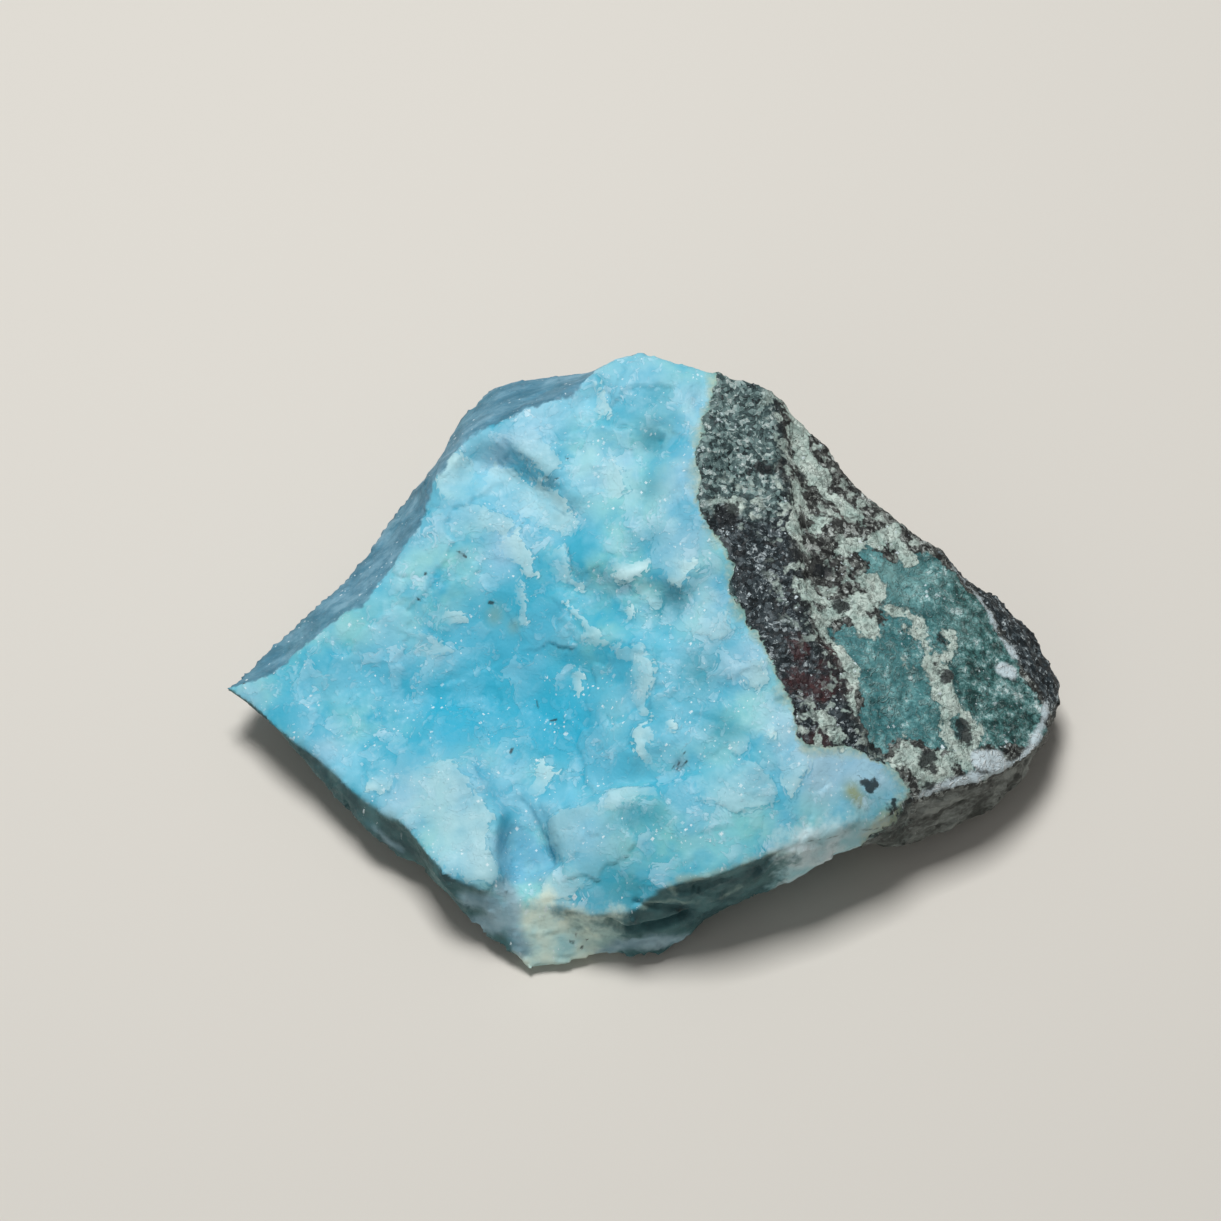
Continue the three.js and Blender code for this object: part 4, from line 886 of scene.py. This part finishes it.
# the smooth grey wall below the green end; its pale streaks are partly painted sheen
frontwards = addNode(tree, rangeKind, {
    "Value": addNode(tree, "ShaderNodeSeparateXYZ", {0: inMm}).outputs[1], "From Max": -3.0})
rockSide = addNode(tree, mathKind, {
    0: addNode(tree, rangeKind, {"Value": values["onTop"], "From Min": 0.9, "From Max": 0.4}),
    1: frontwards}, operation="MULTIPLY")
rock = addNode(tree, mixKind, {
    "Factor": addNode(tree, mathKind, {0: rockSide, 1: 0.9}, operation="MULTIPLY"), "A": rock,
    "B": addNode(tree, mixKind, {
        "Factor": addNode(tree, rangeKind, {"Value": streaks, "From Min": 0.42, "From Max": 0.6}),
        "A": colours["wallShade"], "B": colours["wallStreak"]}, data_type="RGBA")}, data_type="RGBA")

shown = addNode(tree, mixKind, {"Factor": onRock, "A": larimar, "B": rock}, data_type="RGBA")
shown = layOver(shown, colours["rimLight"], "rimDistance", ragged=0.25, soft=0.12, most=0.6)
shown = layOver(shown, colours["crack"], "crackDistance", ragged=0.15, soft=0.04, most=0.8)
shown = layOver(shown, colours["creamRim"], "creamDistance", ragged=1.0, soft=0.06, most=0.35, grow=0.08)
shown = layOver(shown, creamColour, "creamDistance", ragged=1.0, soft=0.06)
shown = layOver(
    shown,
    addNode(tree, mixKind, {
        "Factor": threads, "A": colours["paleShade"], "B": colours["pale"]}, data_type="RGBA"),
    "paleDistance", ragged=0.4, soft=0.08, most=0.92)
shown = layOver(shown, colours["darkSpot"], "darkDistance", ragged=1.1, soft=0.09, most=0.9)

# painted highlights: white dots in the colour for glints of crystal faces, seen from above on the top faces;
# most real ones are under 0.05 mm across, and they are drawn up to 0.1 mm so that they show
for size, largest, shift in stone["glints"]:
    place = addNode(tree, vectorKind, {0: splinters.outputs["Color"], 1: (0.05, 0.05, 0.05), 2: inMm},
                    operation="MULTIPLY_ADD")
    place = addNode(tree, vectorKind, {0: place, 1: (shift, shift, shift)}, operation="ADD")
    glintCells = addNode(tree, cellKind, {"Vector": place, "Scale": 1 / size}, voronoi_dimensions="2D",
                       distance="MANHATTAN")
    glintTone = addNode(tree, splitKind, {0: glintCells.outputs["Color"]})
    glintSize = addNode(tree, mathKind, {
        0: addNode(tree, mathKind, {0: glintTone.outputs[0], 1: 5.0}, operation="POWER"),
        1: largest}, operation="MULTIPLY")
    glintSize = addNode(tree, mathKind, {
        0: glintSize,
        1: addNode(tree, rangeKind, {
            "Value": values["glintCloud"], "From Min": 0.4, "From Max": 0.6, "To Min": 0.15,
            "To Max": 1.1})}, operation="MULTIPLY")
    onGlint = addNode(tree, mathKind, {
        0: addNode(tree, mathKind, {0: glintSize, 1: glintCells.outputs["Distance"]}, operation="SUBTRACT"),
        1: 9.0}, operation="MULTIPLY", use_clamp=True)
    glint = addNode(tree, mathKind, {
        0: addNode(tree, mathKind, {
            0: onGlint,
            1: addNode(tree, rangeKind, {"Value": values["onTop"], "From Min": 0.7})}, operation="MULTIPLY"),
        1: addNode(tree, rangeKind, {
            "Value": glintTone.outputs[1], "To Min": 0.25, "To Max": 0.9})}, operation="MULTIPLY")
    shown = addNode(tree, mixKind, {"Factor": glint, "A": shown, "B": colours["glint"]}, data_type="RGBA")

# bump: the thin layers' steps on the larimar, grains and threads on the rock
grainBump = addNode(tree, noiseKind, {
    "Vector": inMm, "Scale": 1 / sizes["bumpGrain"], "Detail": 2.0, "Roughness": 0.5})
larimarHeight = addNode(tree, mathKind, {0: grainBump, 1: 0.5, 2: flakeHeight}, operation="MULTIPLY_ADD")
rockHeight = addNode(tree, mathKind, {
    0: addNode(tree, mathKind, {0: grainTone.outputs[0], 1: 0.5, 2: threads}, operation="MULTIPLY_ADD"),
    1: 3.2, 2: grainBump}, operation="MULTIPLY_ADD")
rockHeight = addNode(tree, mathKind, {
    0: rockHeight,
    1: addNode(tree, mathKind, {
        0: 1.0,
        1: addNode(tree, mathKind, {
            0: rockSide, 1: 0.85}, operation="MULTIPLY")}, operation="SUBTRACT")}, operation="MULTIPLY")
height = addNode(tree, mixKind, {"Factor": onRock, "A": larimarHeight, "B": rockHeight})
strength, bumpHeight = stone["bump"]
bump = addNode(tree, "ShaderNodeBump", {"Strength": strength, "Distance": bumpHeight * mm, "Height": height})
smoothest, roughest = stone["roughness"]
roughness = addNode(tree, rangeKind, {
    "Value": fineRag, "From Min": 0.3, "From Max": 0.7, "To Min": smoothest, "To Max": roughest})
shader = addNode(tree, "ShaderNodeBsdfPrincipled", {
    "Base Color": shown, "Roughness": roughness, "IOR": stone["ior"],
    "Specular IOR Level": stone["specular"], "Normal": bump})
addNode(tree, "ShaderNodeOutputMaterial", {"Surface": shader})
mesh.materials.append(material)
print("finish made")

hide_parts("larimar_stone")
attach(surface, "root")


# plain floor, two soft lights and the photo's camera, in metres
studio = {
    "floorSize": 0.6,
    "floorColour": "#d8d4cc",
    "keySize": 0.07, "keyPower": 0.38, "keyPlace": (-0.02, 0.05, 0.20),
    "fillSize": 0.20, "fillPower": 0.05, "fillPlace": (-0.12, -0.16, 0.10),
    "worldStrength": 0.15,
    "sensor": 36, "lens": 129.7,       # mm, as eye and aim are
    "eye": (-1.16727, -84.51785, 137.06847), "aim": (-1.16727, 1.24841, 5.0),
}
half = studio["floorSize"] / 2
floorMesh = bpy.data.meshes.new("floor")
corners = [(-half, -half, 0), (half, -half, 0), (half, half, 0), (-half, half, 0)]
floorMesh.from_pydata(corners, [], [(0, 1, 2, 3)])
floor = bpy.data.objects.new("floor", floorMesh)
bpy.context.scene.collection.objects.link(floor)
floorMaterial = bpy.data.materials.new("paleMattPaper")
floorMaterial.use_nodes = True
paper = floorMaterial.node_tree.nodes["Principled BSDF"]
paper.inputs["Base Color"].default_value = toLinear(studio["floorColour"])
paper.inputs["Roughness"].default_value = 0.9
floorMesh.materials.append(floorMaterial)


def addSoftbox(name, size, power, place):
    light = bpy.data.lights.new(name, "AREA")
    light.shape = "SQUARE"
    light.size = size
    light.energy = power
    lamp = bpy.data.objects.new(name, light)
    lamp.location = place
    lamp.rotation_euler = (Vector((0, 0, 0.004)) - Vector(place)).to_track_quat("-Z", "Y").to_euler()
    bpy.context.scene.collection.objects.link(lamp)


addSoftbox("key", studio["keySize"], studio["keyPower"], studio["keyPlace"])
addSoftbox("fill", studio["fillSize"], studio["fillPower"], studio["fillPlace"])
world = bpy.data.worlds.new("studio")
bpy.context.scene.world = world
world.use_nodes = True
world.node_tree.nodes["Background"].inputs["Color"].default_value = (1, 1, 1, 1)
world.node_tree.nodes["Background"].inputs["Strength"].default_value = studio["worldStrength"]

cameraData = bpy.data.cameras.new("camera")
cameraData.sensor_width = studio["sensor"]
cameraData.lens = studio["lens"]
cameraData.clip_start = 0.01
camera = bpy.data.objects.new("camera", cameraData)
bpy.context.scene.collection.objects.link(camera)
camera.location = Vector(studio["eye"]) * mm
aim = Vector(studio["aim"]) * mm
camera.rotation_euler = (aim - camera.location).to_track_quat("-Z", "Y").to_euler()
bpy.context.scene.camera = camera
bpy.context.scene.view_settings.view_transform = "Standard"      # colours as they are, with no film curve
print("studio ready")
